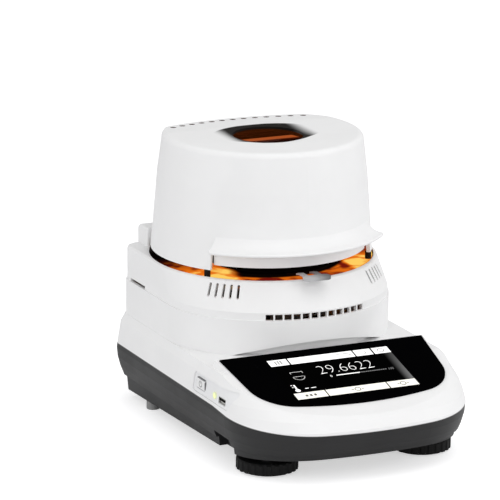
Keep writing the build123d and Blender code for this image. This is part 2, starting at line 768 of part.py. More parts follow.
def weigh_cell():
    """Weighing cell: a block with parallel guide windows."""
    cell = block(-CELL_HALF_WIDTH, CELL_HALF_WIDTH, CELL_FRONT, CELL_REAR, CELL_LOW_Z, CELL_TOP_Z)
    cell -= block(-BIG, BIG, CELL_FRONT + 10, CELL_REAR - 26, CELL_LOW_Z + 9, CELL_LOW_Z + 15)
    cell -= block(-BIG, BIG, CELL_FRONT + 10, CELL_REAR - 26, CELL_TOP_Z - 13, CELL_TOP_Z - 7)
    return cell


def cell_bracket():
    """Plate and feet that carry the weighing cell on the tub's floor."""
    plate = block(-38, 38, CELL_FRONT - 6, CELL_REAR + 6, CELL_LOW_Z - 4, CELL_LOW_Z)
    for x in (-32, 32):
        for y in (CELL_FRONT, CELL_REAR):
            plate += rod(4.0, x, y, TUB_FLOOR_Z, CELL_LOW_Z - 4)
    return plate


def mainboard():
    """Main circuit board on four posts."""
    board = block(-80, 80, -40, 12, TUB_FLOOR_Z + 8, TUB_FLOOR_Z + 9.6)
    for x in (-62, 62):
        for y in (-20, 6):
            board += rod(2.5, x, y, TUB_FLOOR_Z, TUB_FLOOR_Z + 8)
    board += block(-20, 0, -25, -5, TUB_FLOOR_Z + 9.6, TUB_FLOOR_Z + 12)
    board += block(20, 56, -30, -20, TUB_FLOOR_Z + 9.6, TUB_FLOOR_Z + 18)
    return board


def power_supply():
    """Closed power supply module beside the inlet."""
    case = block(44, 90, 30, 104, TUB_FLOOR_Z, TUB_FLOOR_Z + 26)
    case = fillet(case.edges().filter_by(Axis.Z), 2.0)
    return case


def hinge_housing():
    """White tower behind the lid, slotted for the two hinge arms and bored for the pin."""
    tower = block(-TOWER_HALF_WIDTH, TOWER_HALF_WIDTH, TOWER_FRONT, TOWER_REAR, RIM_Z, TOWER_TOP_Z)
    top = tower.faces().sort_by(Axis.Z)[-1]
    tower = fillet(top.edges().sort_by(Axis.Y)[-1], 5.0)
    ends = tower.edges().filter_by(Axis.Z)
    tower = fillet(ends, 2.0)
    for side in (-1, 1):
        half = ARM_THICK / 2 + ARM_SLOT_GAP
        tower -= block(side * ARM_X - half, side * ARM_X + half, TOWER_FRONT - 1, TOWER_REAR + 1,
                       HINGE_Z - ARM_EYE_RADIUS - ARM_SLOT_GAP, TOWER_TOP_Z + 1)
    tower -= cross_rod(PIN_RADIUS, -PIN_HALF_LENGTH, PIN_HALF_LENGTH, HINGE_Y, HINGE_Z)
    return tower & block(-BIG, BIG, -BIG, RIM_REAR, 0, BIG)


def hinge_pin():
    """Steel hinge pin through tower and arms."""
    return cross_rod(PIN_RADIUS - RUNNING_GAP, -PIN_HALF_LENGTH, PIN_HALF_LENGTH, HINGE_Y, HINGE_Z)


def hinge_arm(side):
    """Arm from the hinge pin into the lid, with the foot that the lid's floor rests on."""
    low = side * ARM_X - ARM_THICK / 2
    high = side * ARM_X + ARM_THICK / 2
    floor = LID_RECESS_Z + WALL
    eye = cross_rod(ARM_EYE_RADIUS, low, high, HINGE_Y, HINGE_Z)
    web = side_prism(
        [
            (HINGE_Y + 1.0, HINGE_Z + 5.1),
            (HINGE_Y - 5.0, HINGE_Z - 1.5),
            (HINGE_Y - 11.0, HINGE_Z + 3.5),
            (HINGE_Y - 13.0, floor + ARM_FOOT_THICK),
            (HINGE_Y - 8.5, floor + ARM_FOOT_THICK),
            (HINGE_Y - 7.0, floor - 0.2),
        ]
    ) & block(low, high, -BIG, BIG, 0, BIG)
    foot = block(low - 4, high + 4, LID_RECESS_Y - 1.5, HINGE_Y - 8.5, floor, floor + ARM_FOOT_THICK)
    arm = eye + web + foot
    return arm - cross_rod(PIN_RADIUS, low - 1, high + 1, HINGE_Y, HINGE_Z)


def lid_plan(z, radius, inset=0.0):
    """The lid's outline at height z: a circle about the chamber axis with a flatter, bowed back."""
    radius -= inset
    back = LID_REAR_RADIUS - inset
    corner = LID_CORNER_RADIUS - min(inset, LID_CORNER_RADIUS / 2)
    back_y = LID_REAR - LID_REAR_RADIUS
    apart = back_y - CHAMBER_Y
    along = ((radius - corner) ** 2 - (back - corner) ** 2 + apart**2) / (2 * apart)
    corner_x = math.sqrt((radius - corner) ** 2 - along**2)
    corner_y = CHAMBER_Y + along
    side = radius / (radius - corner)
    side_x, side_y = corner_x * side, CHAMBER_Y + along * side
    rear = back / (back - corner)
    rear_x, rear_y = corner_x * rear, back_y + (corner_y - back_y) * rear
    start = math.atan2(side_y - corner_y, side_x - corner_x)
    end = math.atan2(rear_y - corner_y, rear_x - corner_x)
    middle = (start + end) / 2
    mid_x = corner_x + corner * math.cos(middle)
    mid_y = corner_y + corner * math.sin(middle)
    front = CHAMBER_Y - radius
    level = CHAMBER_Y
    edges = [
        ThreePointArc((-side_x, side_y, z), (-radius, level, z), (0, front, z)),
        ThreePointArc((0, front, z), (radius, level, z), (side_x, side_y, z)),
        ThreePointArc((side_x, side_y, z), (mid_x, mid_y, z), (rear_x, rear_y, z)),
        ThreePointArc((rear_x, rear_y, z), (0, back_y + back, z), (-rear_x, rear_y, z)),
        ThreePointArc((-rear_x, rear_y, z), (-mid_x, mid_y, z), (-side_x, side_y, z)),
    ]
    return make_face(edges)


def lid_form(inset=0.0, low=LID_BOTTOM_Z):
    """The lid's drum: two drafts, rounded top, bowed back, stepped over the hinge tower."""
    top = LID_TOP_Z - inset
    flare = (LID_BASE_RADIUS - LID_CREASE_RADIUS) * (LID_BOTTOM_Z - low) / (LID_CREASE_Z - LID_BOTTOM_Z)
    drum = loft(
        [
            lid_plan(low, LID_BASE_RADIUS + flare, inset),
            lid_plan(LID_CREASE_Z, LID_CREASE_RADIUS, inset),
            lid_plan(top, LID_TOP_RADIUS, inset),
        ],
        ruled=True,
    )
    edge = max(LID_EDGE_RADIUS - inset, 0.0)
    if edge:
        drum = fillet(drum.faces().sort_by(Axis.Z)[-1].edges(), edge)
    drum -= side_prism(
        [
            (LID_SLOPE_Y, top),
            (LID_REAR + 1.0, top - LID_SLOPE_DROP),
            (LID_REAR + 1.0, BIG),
            (LID_SLOPE_Y, BIG),
        ]
    )
    return drum - block(-BIG, BIG, LID_RECESS_Y - inset, BIG, 0, LID_RECESS_Z + inset)


def sector(half_angle, radius, low, high, from_angle=0.0):
    """A wedge of a disc about the chamber axis, centred on the front."""
    wedge = revolve(
        make_face(Plane.XZ * Polyline((0, low), (radius, low), (radius, high), (0, high), close=True)),
        Axis.Z,
        revolution_arc=2 * half_angle,
    )
    return Pos(0, CHAMBER_Y, 0) * Rot(0, 0, -90 - half_angle + from_angle) * wedge


def lid_brim():
    """Grip brim over the front notch: a lip with a hollow upper face."""
    low = NOTCH_TOP_Z
    wall_radius = LID_BASE_RADIUS - 1.6
    profile = [
        Line((wall_radius - 1.6, low), (wall_radius + 1.5, low)),
        Line((wall_radius + 1.5, low), (BRIM_RADIUS - 1.2, low + 3.4)),
        ThreePointArc(
            (BRIM_RADIUS - 1.2, low + 3.4), (BRIM_RADIUS, low + 4.8), (BRIM_RADIUS - 1.2, low + 6.2)
        ),
        ThreePointArc(
            (BRIM_RADIUS - 1.2, low + 6.2),
            (BRIM_RADIUS - 9.6, low + 9.0),
            (wall_radius - 0.9, low + 16.0),
        ),
        Line((wall_radius - 0.9, low + 16.0), (wall_radius - 1.6, low)),
    ]
    face = make_face([Plane.XZ * edge for edge in profile])
    lip = revolve(face, Axis.Z, revolution_arc=2 * BRIM_HALF_ANGLE)
    lip = Pos(0, CHAMBER_Y, 0) * Rot(0, 0, -90 - BRIM_HALF_ANGLE) * lip
    turn = math.radians(BRIM_HALF_ANGLE)
    for side in (-1, 1):
        reach = BRIM_RADIUS - BRIM_END_RADIUS
        x = side * (reach * math.sin(turn) - BRIM_END_RADIUS * math.cos(turn))
        y = CHAMBER_Y - reach * math.cos(turn) - BRIM_END_RADIUS * math.sin(turn)
        tip = Pos(BRIM_END_RADIUS, -BRIM_END_RADIUS, 0) * Box(
            2 * BRIM_END_RADIUS, 2 * BRIM_END_RADIUS, BIG
        ) - Cylinder(BRIM_END_RADIUS, BIG)
        spin = BRIM_HALF_ANGLE if side > 0 else -90 - BRIM_HALF_ANGLE
        lip -= Pos(x, y, 0) * Rot(0, 0, spin) * tip
    return lip


def lid_shell():
    """White lid: drum shell with window, rear vents, front notch and brim."""
    shell = lid_form() - lid_form(WALL, LID_BOTTOM_Z - 1)
    shell += lid_brim() - lid_form(WALL - 0.5, LID_BOTTOM_Z - 1)
    shell -= sector(NOTCH_HALF_ANGLE, 120.0, LID_BOTTOM_Z - 5, NOTCH_TOP_Z)
    rim = Pos(0, WINDOW_Y, LID_TOP_Z - 0.4) * Cone(WINDOW_RADIUS + 0.5, WINDOW_RIM_RADIUS, 1.2)
    shell -= rim
    shell -= rod(WINDOW_RADIUS, 0, WINDOW_Y, LID_TOP_Z - 20, BIG)
    for i in range(REAR_VENT_COUNT):
        x = (i - (REAR_VENT_COUNT - 1) / 2) * REAR_VENT_PITCH
        reach = LID_REAR_RADIUS - REAR_VENT_INSET
        y = LID_REAR - LID_REAR_RADIUS + math.sqrt(reach**2 - x**2)
        hole = extrude(Ellipse(REAR_VENT_HALF_WIDTH, REAR_VENT_HALF_DEPTH), 8.0, both=True)
        shell -= Pos(x, y, LID_TOP_Z) * hole
    for side in (-1, 1):
        half = ARM_THICK / 2 + ARM_SLOT_GAP
        shell -= block(side * ARM_X - half, side * ARM_X + half, HINGE_Y - 15.0, HINGE_Y + 10,
                       LID_RECESS_Z - 1, LID_RECESS_Z + WALL)
    return shell


def lid_inner_ring():
    """White band that shows behind the notch, under the brim."""
    low = LID_BOTTOM_Z + 3.5
    high = NOTCH_TOP_Z + 7.0
    outer = LID_BASE_RADIUS - 1.6 - WALL - FIT_GAP
    band = sector(NOTCH_HALF_ANGLE - BAND_SHORTER, outer, low, high)
    return band - rod(outer - 1.5, 0, CHAMBER_Y, 0, BIG)


def lid_liner():
    """Steel reflector inside the lid, open below, with a hole under the window."""
    liner = lid_form(LINER_INSET, LID_BOTTOM_Z + 3.0) - lid_form(LINER_INSET + SHEET, LID_BOTTOM_Z + 2.0)
    liner -= sector(NOTCH_HALF_ANGLE + 2, 120.0, 0, NOTCH_TOP_Z)
    return liner - rod(WINDOW_RADIUS + 2.0, 0, WINDOW_Y, LID_TOP_Z - 20, BIG)


def window_glass():
    """Sight glass under the window hole."""
    high = LID_TOP_Z - WALL
    return rod(WINDOW_RADIUS + 3.0, 0, WINDOW_Y, high - GLASS_THICK, high)


def heater_tubes():
    """Two halogen tubes lying along X."""
    tubes = Part()
    for side in (-1, 1):
        y = WINDOW_Y + side * HEATER_OFFSET
        tubes += cross_rod(HEATER_RADIUS, -HEATER_HALF_LENGTH, HEATER_HALF_LENGTH, y, HEATER_Z)
    return tubes


def heater_caps():
    """Ceramic end caps of the heater tubes."""
    caps = Part()
    for side in (-1, 1):
        y = WINDOW_Y + side * HEATER_OFFSET
        for end in (-1, 1):
            x0 = end * HEATER_HALF_LENGTH
            x1 = end * (HEATER_HALF_LENGTH + CAP_LENGTH)
            caps += block(min(x0, x1), max(x0, x1), y - 5.5, y + 5.5, HEATER_Z - 5.5, HEATER_Z + 5.5)
    return caps


def heater_brackets():
    """Steel brackets from the liner's ceiling to the tube ends."""
    brackets = Part()
    ceiling = LID_TOP_Z - LINER_INSET - SHEET
    for end in (-1, 1):
        x0 = end * (HEATER_HALF_LENGTH + CAP_LENGTH)
        x1 = x0 + end * SHEET
        plate = block(min(x0, x1), max(x0, x1), WINDOW_Y - 31, WINDOW_Y + 31, GUARD_Z - 3, ceiling)
        brackets += plate
    return brackets


def heater_guard():
    """Wire guard between heater and sample."""
    reach = HEATER_HALF_LENGTH + CAP_LENGTH
    guard = Part()
    for i in range(GUARD_COUNT):
        y = WINDOW_Y + (i - (GUARD_COUNT - 1) / 2) * 9.0
        guard += cross_rod(GUARD_WIRE, -reach, reach, y, GUARD_Z)
    for x in (-40.0, 40.0):
        guard += Pos(x, WINDOW_Y, GUARD_Z) * Rot(90, 0, 0) * Cylinder(GUARD_WIRE, 60.0)
    return guard


def temperature_sensor():
    """Thin temperature probe from the liner's wall into the chamber."""
    seat = LID_REAR - LINER_INSET - SHEET - FIT_GAP
    length = seat - SENSOR_TIP_Y
    return Pos(0, seat - length / 2, SENSOR_Z) * Rot(90, 0, 0) * Cylinder(SENSOR_RADIUS, length)


def lid_bumpers():
    """Rubber pads under the lid's rim, at the notch and near the back."""
    pads = Part()
    for angle in BUMPER_ANGLES:
        turn = math.radians(angle)
        reach = LID_BASE_RADIUS - WALL / 2 - 0.8
        pads += rod(
            BUMPER_RADIUS,
            reach * math.sin(turn),
            CHAMBER_Y - reach * math.cos(turn),
            RIM_Z - 1.2 + FIT_GAP,
            LID_BOTTOM_Z,
        )
    return pads


def sample_pan():
    """Shallow round dish of thin metal with a flat flange."""
    pan = rod(PAN_RADIUS, 0, PAN_Y, PAN_FLOOR_Z, PAN_FLOOR_Z + PAN_HEIGHT)
    pan += rod(PAN_RADIUS + 4.0, 0, PAN_Y, PAN_FLOOR_Z + PAN_HEIGHT - PAN_SHEET, PAN_FLOOR_Z + PAN_HEIGHT)
    return pan - rod(PAN_RADIUS - PAN_SHEET, 0, PAN_Y, PAN_FLOOR_Z + PAN_SHEET, BIG)


def pan_lifter():
    """Ring that lifts the pan by its flange, with a handle out over the rim."""
    low = LEDGE_Z + SHEET
    ring = rod(LIFTER_RING_OUTER, 0, PAN_Y, low, low + 1.6) - rod(LIFTER_RING_INNER, 0, PAN_Y, 0, BIG)
    for x in (-6.0, 6.0):
        ring += side_prism(
            [
                (PAN_Y - LIFTER_RING_INNER - 3, low),
                (PAN_Y - LIFTER_RING_INNER - 3, low + 1.6),
                (RIM_FRONT + 9.0, HANDLE_Z + 1.6),
                (HANDLE_FRONT + 8.0, HANDLE_Z + 1.6),
                (HANDLE_FRONT + 8.0, HANDLE_Z),
                (RIM_FRONT + 9.5, HANDLE_Z),
            ]
        ) & block(x - 2.0, x + 2.0, -BIG, BIG, 0, BIG)
    grip = Pos(0, HANDLE_FRONT + 5.0, HANDLE_Z + 1.0) * Box(2 * HANDLE_HALF_WIDTH, 10.0, 2.6)
    grip = fillet(grip.edges().filter_by(Axis.Z), 4.8)
    return ring + grip


def level_wheel(side):
    """Knurled levelling wheel."""
    wheel = rod(WHEEL_RADIUS, 0, 0, PAD_THICK, WHEEL_TOP_Z)
    wheel = chamfer(wheel.faces().sort_by(Axis.Z)[-1].edges(), 1.2)
    count = 24
    for i in range(count):
        groove = Pos(WHEEL_RADIUS + 0.9, 0, WHEEL_TOP_Z / 2) * Cylinder(1.9, 2 * WHEEL_TOP_Z)
        wheel -= Rot(0, 0, i * 360 / count) * groove
    wheel -= rod(STUD_RADIUS + RUNNING_GAP, 0, 0, PAD_THICK + 2.0, BIG)
    return Pos(side * FOOT_X, FOOT_Y, 0) * wheel


def level_stud(side):
    """Threaded stud of a levelling wheel."""
    return rod(STUD_RADIUS, side * FOOT_X, FOOT_Y, PAD_THICK + 2.0, STUD_TOP_Z)


def foot_pad(side):
    """Rubber pad under a levelling wheel."""
    return rod(PAD_RADIUS, side * FOOT_X, FOOT_Y, 0, PAD_THICK)


def foot_bushings():
    """Brass bushings that guide the studs."""
    bushings = Part()
    for side in (-1, 1):
        sleeve = rod(BUSHING_RADIUS, side * FOOT_X, FOOT_Y, TUB_BEND_Z + 2.0, BUSHING_TOP_Z)
        sleeve -= rod(STUD_RADIUS + RUNNING_GAP, side * FOOT_X, FOOT_Y, 0, BIG)
        bushings += sleeve
    return bushings


def rear_pegs():
    """Rear feet: plain pegs with a neck in the tub's floor."""
    pegs = Part()
    for side in (-1, 1):
        peg = rod(PEG_RADIUS, side * PEG_X, PEG_Y, 0, TUB_REAR_Z + 1.5)
        peg += rod(PEG_RADIUS - 1.5, side * PEG_X, PEG_Y, 0, TUB_FLOOR_Z - 1.0)
        pegs += peg
    return pegs


def rear_panel():
    """Flat connector panel behind the tub's rear window."""
    panel = block(
        -REAR_WINDOW_HALF - 3,
        REAR_WINDOW_HALF + 3,
        REAR_PANEL_Y - REAR_PANEL_THICK,
        REAR_PANEL_Y,
        TUB_FLOOR_Z,
        REAR_WINDOW_HIGH + 3,
    )
    panel -= connector_hole(INLET_X, INLET_WIDTH, INLET_HEIGHT)
    panel -= connector_hole(SWITCH_X, SWITCH_WIDTH, SWITCH_HEIGHT)
    panel -= connector_hole(SERIAL_X, 20.0, 9.0)
    panel -= connector_hole(USB_B_X, 12.0, 11.0)
    return panel


def connector_hole(x, width, height, gap=RUNNING_GAP):
    """A rectangular hole through the rear panel."""
    low = CONNECTOR_Z + 2.0 - height / 2 - gap
    high = CONNECTOR_Z + 2.0 + height / 2 + gap
    return block(x - width / 2 - gap, x + width / 2 + gap, REAR_PANEL_Y - 30, REAR_PANEL_Y + 30, low, high)


def socket(x, width, height, depth, rim, wall):
    """A socket shell: a rim on the panel, a body behind it and a hollow from outside."""
    z = CONNECTOR_Z + 2.0
    front = REAR_PANEL_Y + rim
    body = block(x - width / 2, x + width / 2, front - depth, front, z - height / 2, z + height / 2)
    hollow = block(
        x - width / 2 + wall,
        x + width / 2 - wall,
        front - depth + wall,
        front + 1,
        z - height / 2 + wall,
        z + height / 2 - wall,
    )
    return body - hollow


def mains_inlet():
    """Three-pin mains inlet."""
    shell = socket(INLET_X, INLET_WIDTH, INLET_HEIGHT, INLET_DEPTH, 1.5, 1.8)
    z = CONNECTOR_Z + 2.0
    low = REAR_PANEL_Y - INLET_DEPTH + 2.5
    for x, up in ((-7.0, -1.0), (0.0, 3.0), (7.0, -1.0)):
        shell += block(INLET_X + x - 1.0, INLET_X + x + 1.0, low, REAR_PANEL_Y - 3.0, z + up - 2, z + up + 2)
    return shell


def switch_frame():
    """Frame of the mains switch."""
    z = CONNECTOR_Z + 2.0
    frame = block(SWITCH_X - SWITCH_WIDTH / 2, SWITCH_X + SWITCH_WIDTH / 2, REAR_PANEL_Y - 12,
                  REAR_PANEL_Y + 1.0, z - SWITCH_HEIGHT / 2, z + SWITCH_HEIGHT / 2)
    hollow = block(SWITCH_X - SWITCH_WIDTH / 2 + 1.5, SWITCH_X + SWITCH_WIDTH / 2 - 1.5, REAR_PANEL_Y - 10.5,
                   REAR_PANEL_Y + 2, z - SWITCH_HEIGHT / 2 + 1.5, z + SWITCH_HEIGHT / 2 - 1.5)
    frame -= hollow
    return frame


def mains_rocker():
    """Rocker of the mains switch, resting tipped to one side."""
    half_x = SWITCH_WIDTH / 2 - 1.5 - FIT_GAP
    z = CONNECTOR_Z + 2.0
    half_z = SWITCH_HEIGHT / 2 - 1.5 - 0.9
    shape = side_prism(
        [(-2.5, -3.0), (-2.5, 3.0), (3.2, half_z), (4.6, half_z), (3.4, 0), (4.6, -half_z), (3.2, -half_z)]
    ) & block(-half_x, half_x, -BIG, BIG, -BIG, BIG)
    return Pos(SWITCH_X, ROCKER_PIVOT_Y, z) * Rot(ROCKER_TILT, 0, 0) * shape


def serial_port():
    """Nine-pin serial socket."""
    return socket(SERIAL_X, 20.0, 9.0, 12.0, 3.0, 1.4)


def usb_b_port():
    """Square USB socket."""
    return socket(USB_B_X, 12.0, 11.0, 14.0, 1.0, 1.0)


def main():
    """Builds and writes every sub-part."""
    save("base_tub", base_tub())
    save("top_cover", top_cover())
    save("chamber_collar", chamber_collar())
    save("hinge_housing", hinge_housing())
    save("display_facia", display_facia())
    save("lcd_panel", lcd_panel())
    save("display_board", display_board())
    save("side_panel", side_panel())
    save("status_led", status_led())
    save("usb_port_side", usb_port_side())
    save("rear_panel", rear_panel())
    save("mains_inlet", mains_inlet())
    save("switch_frame", switch_frame())
    save("serial_port", serial_port())
    save("usb_b_port", usb_b_port())
    save("bubble_level", bubble_level())
    save("rear_pegs", rear_pegs())
    save("foot_bushings", foot_bushings())
    save("cover_screws", cover_screws())
    save("chamber_ring", chamber_ring())
    save("chamber_pot", chamber_pot())
    save("heat_shield", heat_shield())
    save("pan_support", pan_support())
    save("weigh_shaft", weigh_shaft())
    save("weigh_cell", weigh_cell())
    save("cell_bracket", cell_bracket())
    save("mainboard", mainboard())
    save("power_supply", power_supply())
    save("hinge_pin", hinge_pin())
    save("power_button", power_button())
    save("mains_rocker", mains_rocker())
    save("sample_pan", sample_pan())
    save("pan_lifter", pan_lifter())
    for side, word in ((-1, "left"), (1, "right")):
        save("level_wheel_" + word, level_wheel(side))
        save("level_stud_" + word, level_stud(side))
        save("foot_pad_" + word, foot_pad(side))
        save("hinge_arm_" + word, hinge_arm(side))
    save("lid_shell", lid_shell())
    save("lid_inner_ring", lid_inner_ring())
    save("lid_liner", lid_liner())
    save("window_glass", window_glass())
    save("heater_tubes", heater_tubes())
    save("heater_caps", heater_caps())
    save("heater_brackets", heater_brackets())
    save("heater_guard", heater_guard())
    save("temperature_sensor", temperature_sensor())
    save("lid_bumpers", lid_bumpers())


main()
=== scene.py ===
# %% [markdown]
# # A bench moisture analyzer
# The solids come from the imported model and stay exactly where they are. This script adds what a
# solid model leaves out: the finishes, the picture on the touch display, the glow of the heater
# and the small marks. Everything is in metres, with the display towards -Y.

# %% Load the frame
import math

import bmesh
import bpy
from mathutils import Matrix, Vector


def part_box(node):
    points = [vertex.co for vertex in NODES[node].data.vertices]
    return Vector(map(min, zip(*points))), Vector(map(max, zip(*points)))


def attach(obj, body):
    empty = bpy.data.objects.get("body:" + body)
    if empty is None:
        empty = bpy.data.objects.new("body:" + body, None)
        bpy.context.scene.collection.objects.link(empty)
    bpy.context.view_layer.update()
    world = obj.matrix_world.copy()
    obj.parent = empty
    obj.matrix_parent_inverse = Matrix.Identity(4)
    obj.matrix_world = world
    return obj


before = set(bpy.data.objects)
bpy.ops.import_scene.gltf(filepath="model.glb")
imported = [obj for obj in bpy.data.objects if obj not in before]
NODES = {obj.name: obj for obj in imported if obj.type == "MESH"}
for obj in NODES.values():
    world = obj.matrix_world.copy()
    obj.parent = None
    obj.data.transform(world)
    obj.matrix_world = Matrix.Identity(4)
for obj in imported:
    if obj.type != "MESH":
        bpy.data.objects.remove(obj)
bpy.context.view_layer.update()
MM = 0.001
scene = bpy.context.scene

# %% [markdown]
# ## Camera
# The instrument was photographed from the front left, a little above, with a long lens. A camera
# is placed by its turn, its height angle and its distance from a point inside the instrument. The
# lens is pointed a little beside that point, so that the instrument lies low in the frame.

# %% Camera
IMAGE = 500
SENSOR = 36.0
FOCAL_PIXELS = 3618.0
AIM_FROM = Vector((0.0, 0.040, 0.080))
AIM_PIXEL = (278.37, 322.31)
DISTANCE = 3.0
TURN = math.radians(-25.894)
RISE = math.radians(16.106)
ROLL = math.radians(0.807)
FARTHEST = 50.0

back = Vector((math.sin(TURN) * math.cos(RISE), -math.cos(TURN) * math.cos(RISE), math.sin(RISE)))
level_right = Vector((math.cos(TURN), math.sin(TURN), 0.0))
level_up = back.cross(level_right)
right = math.cos(ROLL) * level_right + math.sin(ROLL) * level_up
up = -math.sin(ROLL) * level_right + math.cos(ROLL) * level_up
place = AIM_FROM + DISTANCE * back
sideways = DISTANCE * (IMAGE / 2 - AIM_PIXEL[0]) / FOCAL_PIXELS
upwards = DISTANCE * (AIM_PIXEL[1] - IMAGE / 2) / FOCAL_PIXELS
look = (AIM_FROM + sideways * right + upwards * up - place).normalized()
true_right = look.cross(up).normalized()
true_up = true_right.cross(look)
camera_data = bpy.data.cameras.new("camera")
camera_data.sensor_width = SENSOR
camera_data.lens = FOCAL_PIXELS * SENSOR / IMAGE
camera_data.clip_end = FARTHEST
camera = bpy.data.objects.new("camera", camera_data)
scene.collection.objects.link(camera)
turn = Matrix((true_right, true_up, -look)).transposed()
camera.matrix_world = Matrix.Translation(place) @ turn.to_4x4()
scene.camera = camera
print("camera", [round(c, 3) for c in place], "lens", round(camera_data.lens, 1))

# %% [markdown]
# ## Shader maths
# A material is a small network of nodes. Writing it as Python sums keeps it readable: a class
# wraps a socket, and adding or multiplying two of them makes a Math node between them.


# %% Sockets that can be added and multiplied
class Value:
    """A number that varies over the surface: an output socket with arithmetic."""

    def __init__(self, paint, socket):
        self.paint = paint
        self.socket = socket

    def __add__(self, other):
        return self.paint.maths("ADD", self, other)

    def __sub__(self, other):
        return self.paint.maths("SUBTRACT", self, other)

    def __rsub__(self, other):
        return self.paint.maths("SUBTRACT", other, self)

    def __mul__(self, other):
        return self.paint.maths("MULTIPLY", self, other)

    def __truediv__(self, other):
        return self.paint.maths("DIVIDE", self, other)

    def __gt__(self, other):
        return self.paint.maths("GREATER_THAN", self, other)

    def __lt__(self, other):
        return self.paint.maths("LESS_THAN", self, other)

    def size(self):
        """The number without its sign."""
        return self.paint.maths("ABSOLUTE", self)

    def larger(self, other):
        """The larger of two numbers."""
        return self.paint.maths("MAXIMUM", self, other)

    def reach(self, other):
        """How far a place lies from the middle, from its two coordinates."""
        return self.paint.maths("SQRT", self * self + other * other)

    def ramp(self, low, high):
        """0 below low, 1 above high, smooth between them."""
        return self.paint.node(
            "ShaderNodeMapRange",
            {"interpolation_type": "SMOOTHSTEP"},
            {"Value": self, "From Min": low, "From Max": high},
        )

    __radd__ = __add__
    __rmul__ = __mul__


print("sums on sockets ready")

# %% [markdown]
# The second class is the material itself. It makes the nodes, puts numbers, colours or other nodes
# into their sockets, and knows the few patterns that the finishes below share. A Mix node holds a
# set of sockets for each kind of value, so its colour sockets are found by their numbers.

# %% A material, node by node
MIX_FIRST = 6
MIX_SECOND = 7
MIX_COLOUR = 2


class Paint:
    """One material, built node by node."""

    def __init__(self, name):
        self.material = bpy.data.materials.new(name)
        self.material.use_nodes = True
        self.tree = self.material.node_tree
        self.tree.nodes.clear()
        self.shader = self.tree.nodes.new("ShaderNodeBsdfPrincipled")
        output = self.tree.nodes.new("ShaderNodeOutputMaterial")
        self.tree.links.new(self.shader.outputs[0], output.inputs["Surface"])

    def feed(self, socket, value):
        """Puts a number, a colour or another socket into a socket."""
        if isinstance(value, Value):
            self.tree.links.new(value.socket, socket)
        elif isinstance(value, tuple) and len(value) == 3 and len(socket.default_value) == 4:
            socket.default_value = (*value, 1.0)
        else:
            socket.default_value = value

    def node(self, kind, settings=None, values=None, output=0):
        """A node of any kind: its settings first, then its sockets."""
        made = self.tree.nodes.new(kind)
        for key, value in (settings or {}).items():
            setattr(made, key, value)
        for key, value in (values or {}).items():
            self.feed(made.inputs[key], value)
        return Value(self, made.outputs[output])

    def maths(self, operation, *numbers):
        """A sum of one or two numbers."""
        return self.node("ShaderNodeMath", {"operation": operation}, dict(enumerate(numbers)))

    def point(self):
        """The place on the object, in metres."""
        return self.node("ShaderNodeTexCoord", output="Object")

    def axes(self):
        """The three coordinates of the place, as numbers."""
        split = self.tree.nodes.new("ShaderNodeSeparateXYZ")
        self.feed(split.inputs[0], self.point())
        return [Value(self, split.outputs[i]) for i in range(3)]

    def noise(self, scale, detail=2.0, stretch=None):
        """Smooth noise with so many bumps to the metre."""
        where = self.point()
        if stretch:
            where = self.node("ShaderNodeMapping", None, {"Vector": where, "Scale": stretch})
        return self.node(
            "ShaderNodeTexNoise", None, {"Vector": where, "Scale": scale, "Detail": detail}
        )

    def mix(self, factor, first, second):
        """A colour between two colours."""
        return self.node(
            "ShaderNodeMix",
            {"data_type": "RGBA"},
            {"Factor": factor, MIX_FIRST: first, MIX_SECOND: second},
            MIX_COLOUR,
        )

    def bump(self, height, depth):
        """A surface relief of that depth in metres."""
        return self.node(
            "ShaderNodeBump", None, {"Height": height, "Distance": depth, "Strength": 1.0}
        )

    def set(self, **sockets):
        """Fills the surface shader's sockets, named with underscores."""
        for key, value in sockets.items():
            self.feed(self.shader.inputs[key.replace("_", " ")], value)


print("paint kit ready")

# %% [markdown]
# ## Moulded plastics
# The covers are satin white plastic and the tub is dark grey. Real moulded plastic is never quite
# flat: it has a fine spark-eroded grain and a slow change of gloss, and the joint between two
# shells shows as a thin shadow, painted here as a darker band along the joint. The grain is a noise
# of about half a millimetre that feeds only the bump.

# %% Plastic finishes
GRAIN = 1800.0
CLOUD = 22.0
CLOUD_GLOSS = 0.05
JOINT_REAR_Z = 47.8 * MM
JOINT_FRONT_Z = 41.5 * MM
JOINT_BEND_Y = -55.0 * MM
JOINT_FRONT_Y = -149.0 * MM
JOINT_WIDTH = 0.55 * MM
JOINT_CORE = 0.4
JOINT_SHADOW = 0.35
LID_GRAIN = 0.008 * MM
FINE_GRAIN = 0.010 * MM
COARSE_GRAIN = 0.020 * MM
TUB_GRAIN = 0.030 * MM
RUBBER_GRAIN = 0.040 * MM


def joint_distance(paint):
    """How far a place lies above the joint between tub and cover."""
    _, y, z = paint.axes()
    slope = (JOINT_REAR_Z - JOINT_FRONT_Z) / (JOINT_BEND_Y - JOINT_FRONT_Y)
    fall = (JOINT_BEND_Y - y).larger(0.0) * slope
    return z - JOINT_REAR_Z + fall


def clouded(paint, colour, shade):
    """A slow change between a colour and its shade, and the mask that drives it."""
    cloud = paint.noise(CLOUD, 3.0).ramp(0.35, 0.65)
    return cloud, paint.mix(cloud, colour, shade)


def plastic(name, colour, shade, roughness, grain_depth, joint=False, gloss=0.5):
    """Moulded plastic: colour, its slightly deeper shade, roughness, depth of grain and gloss."""
    paint = Paint(name)
    cloud, tone = clouded(paint, colour, shade)
    if joint:
        # Painted shadow: a darker band along the joint between tub and cover.
        near = 1.0 - joint_distance(paint).size().ramp(JOINT_WIDTH * JOINT_CORE, JOINT_WIDTH)
        tone = paint.mix(near, tone, tuple(part * JOINT_SHADOW for part in shade))
    paint.set(
        Base_Color=tone,
        Roughness=cloud * CLOUD_GLOSS + roughness,
        Normal=paint.bump(paint.noise(GRAIN, 1.0), grain_depth),
        Specular_IOR_Level=gloss,
    )
    return paint.material


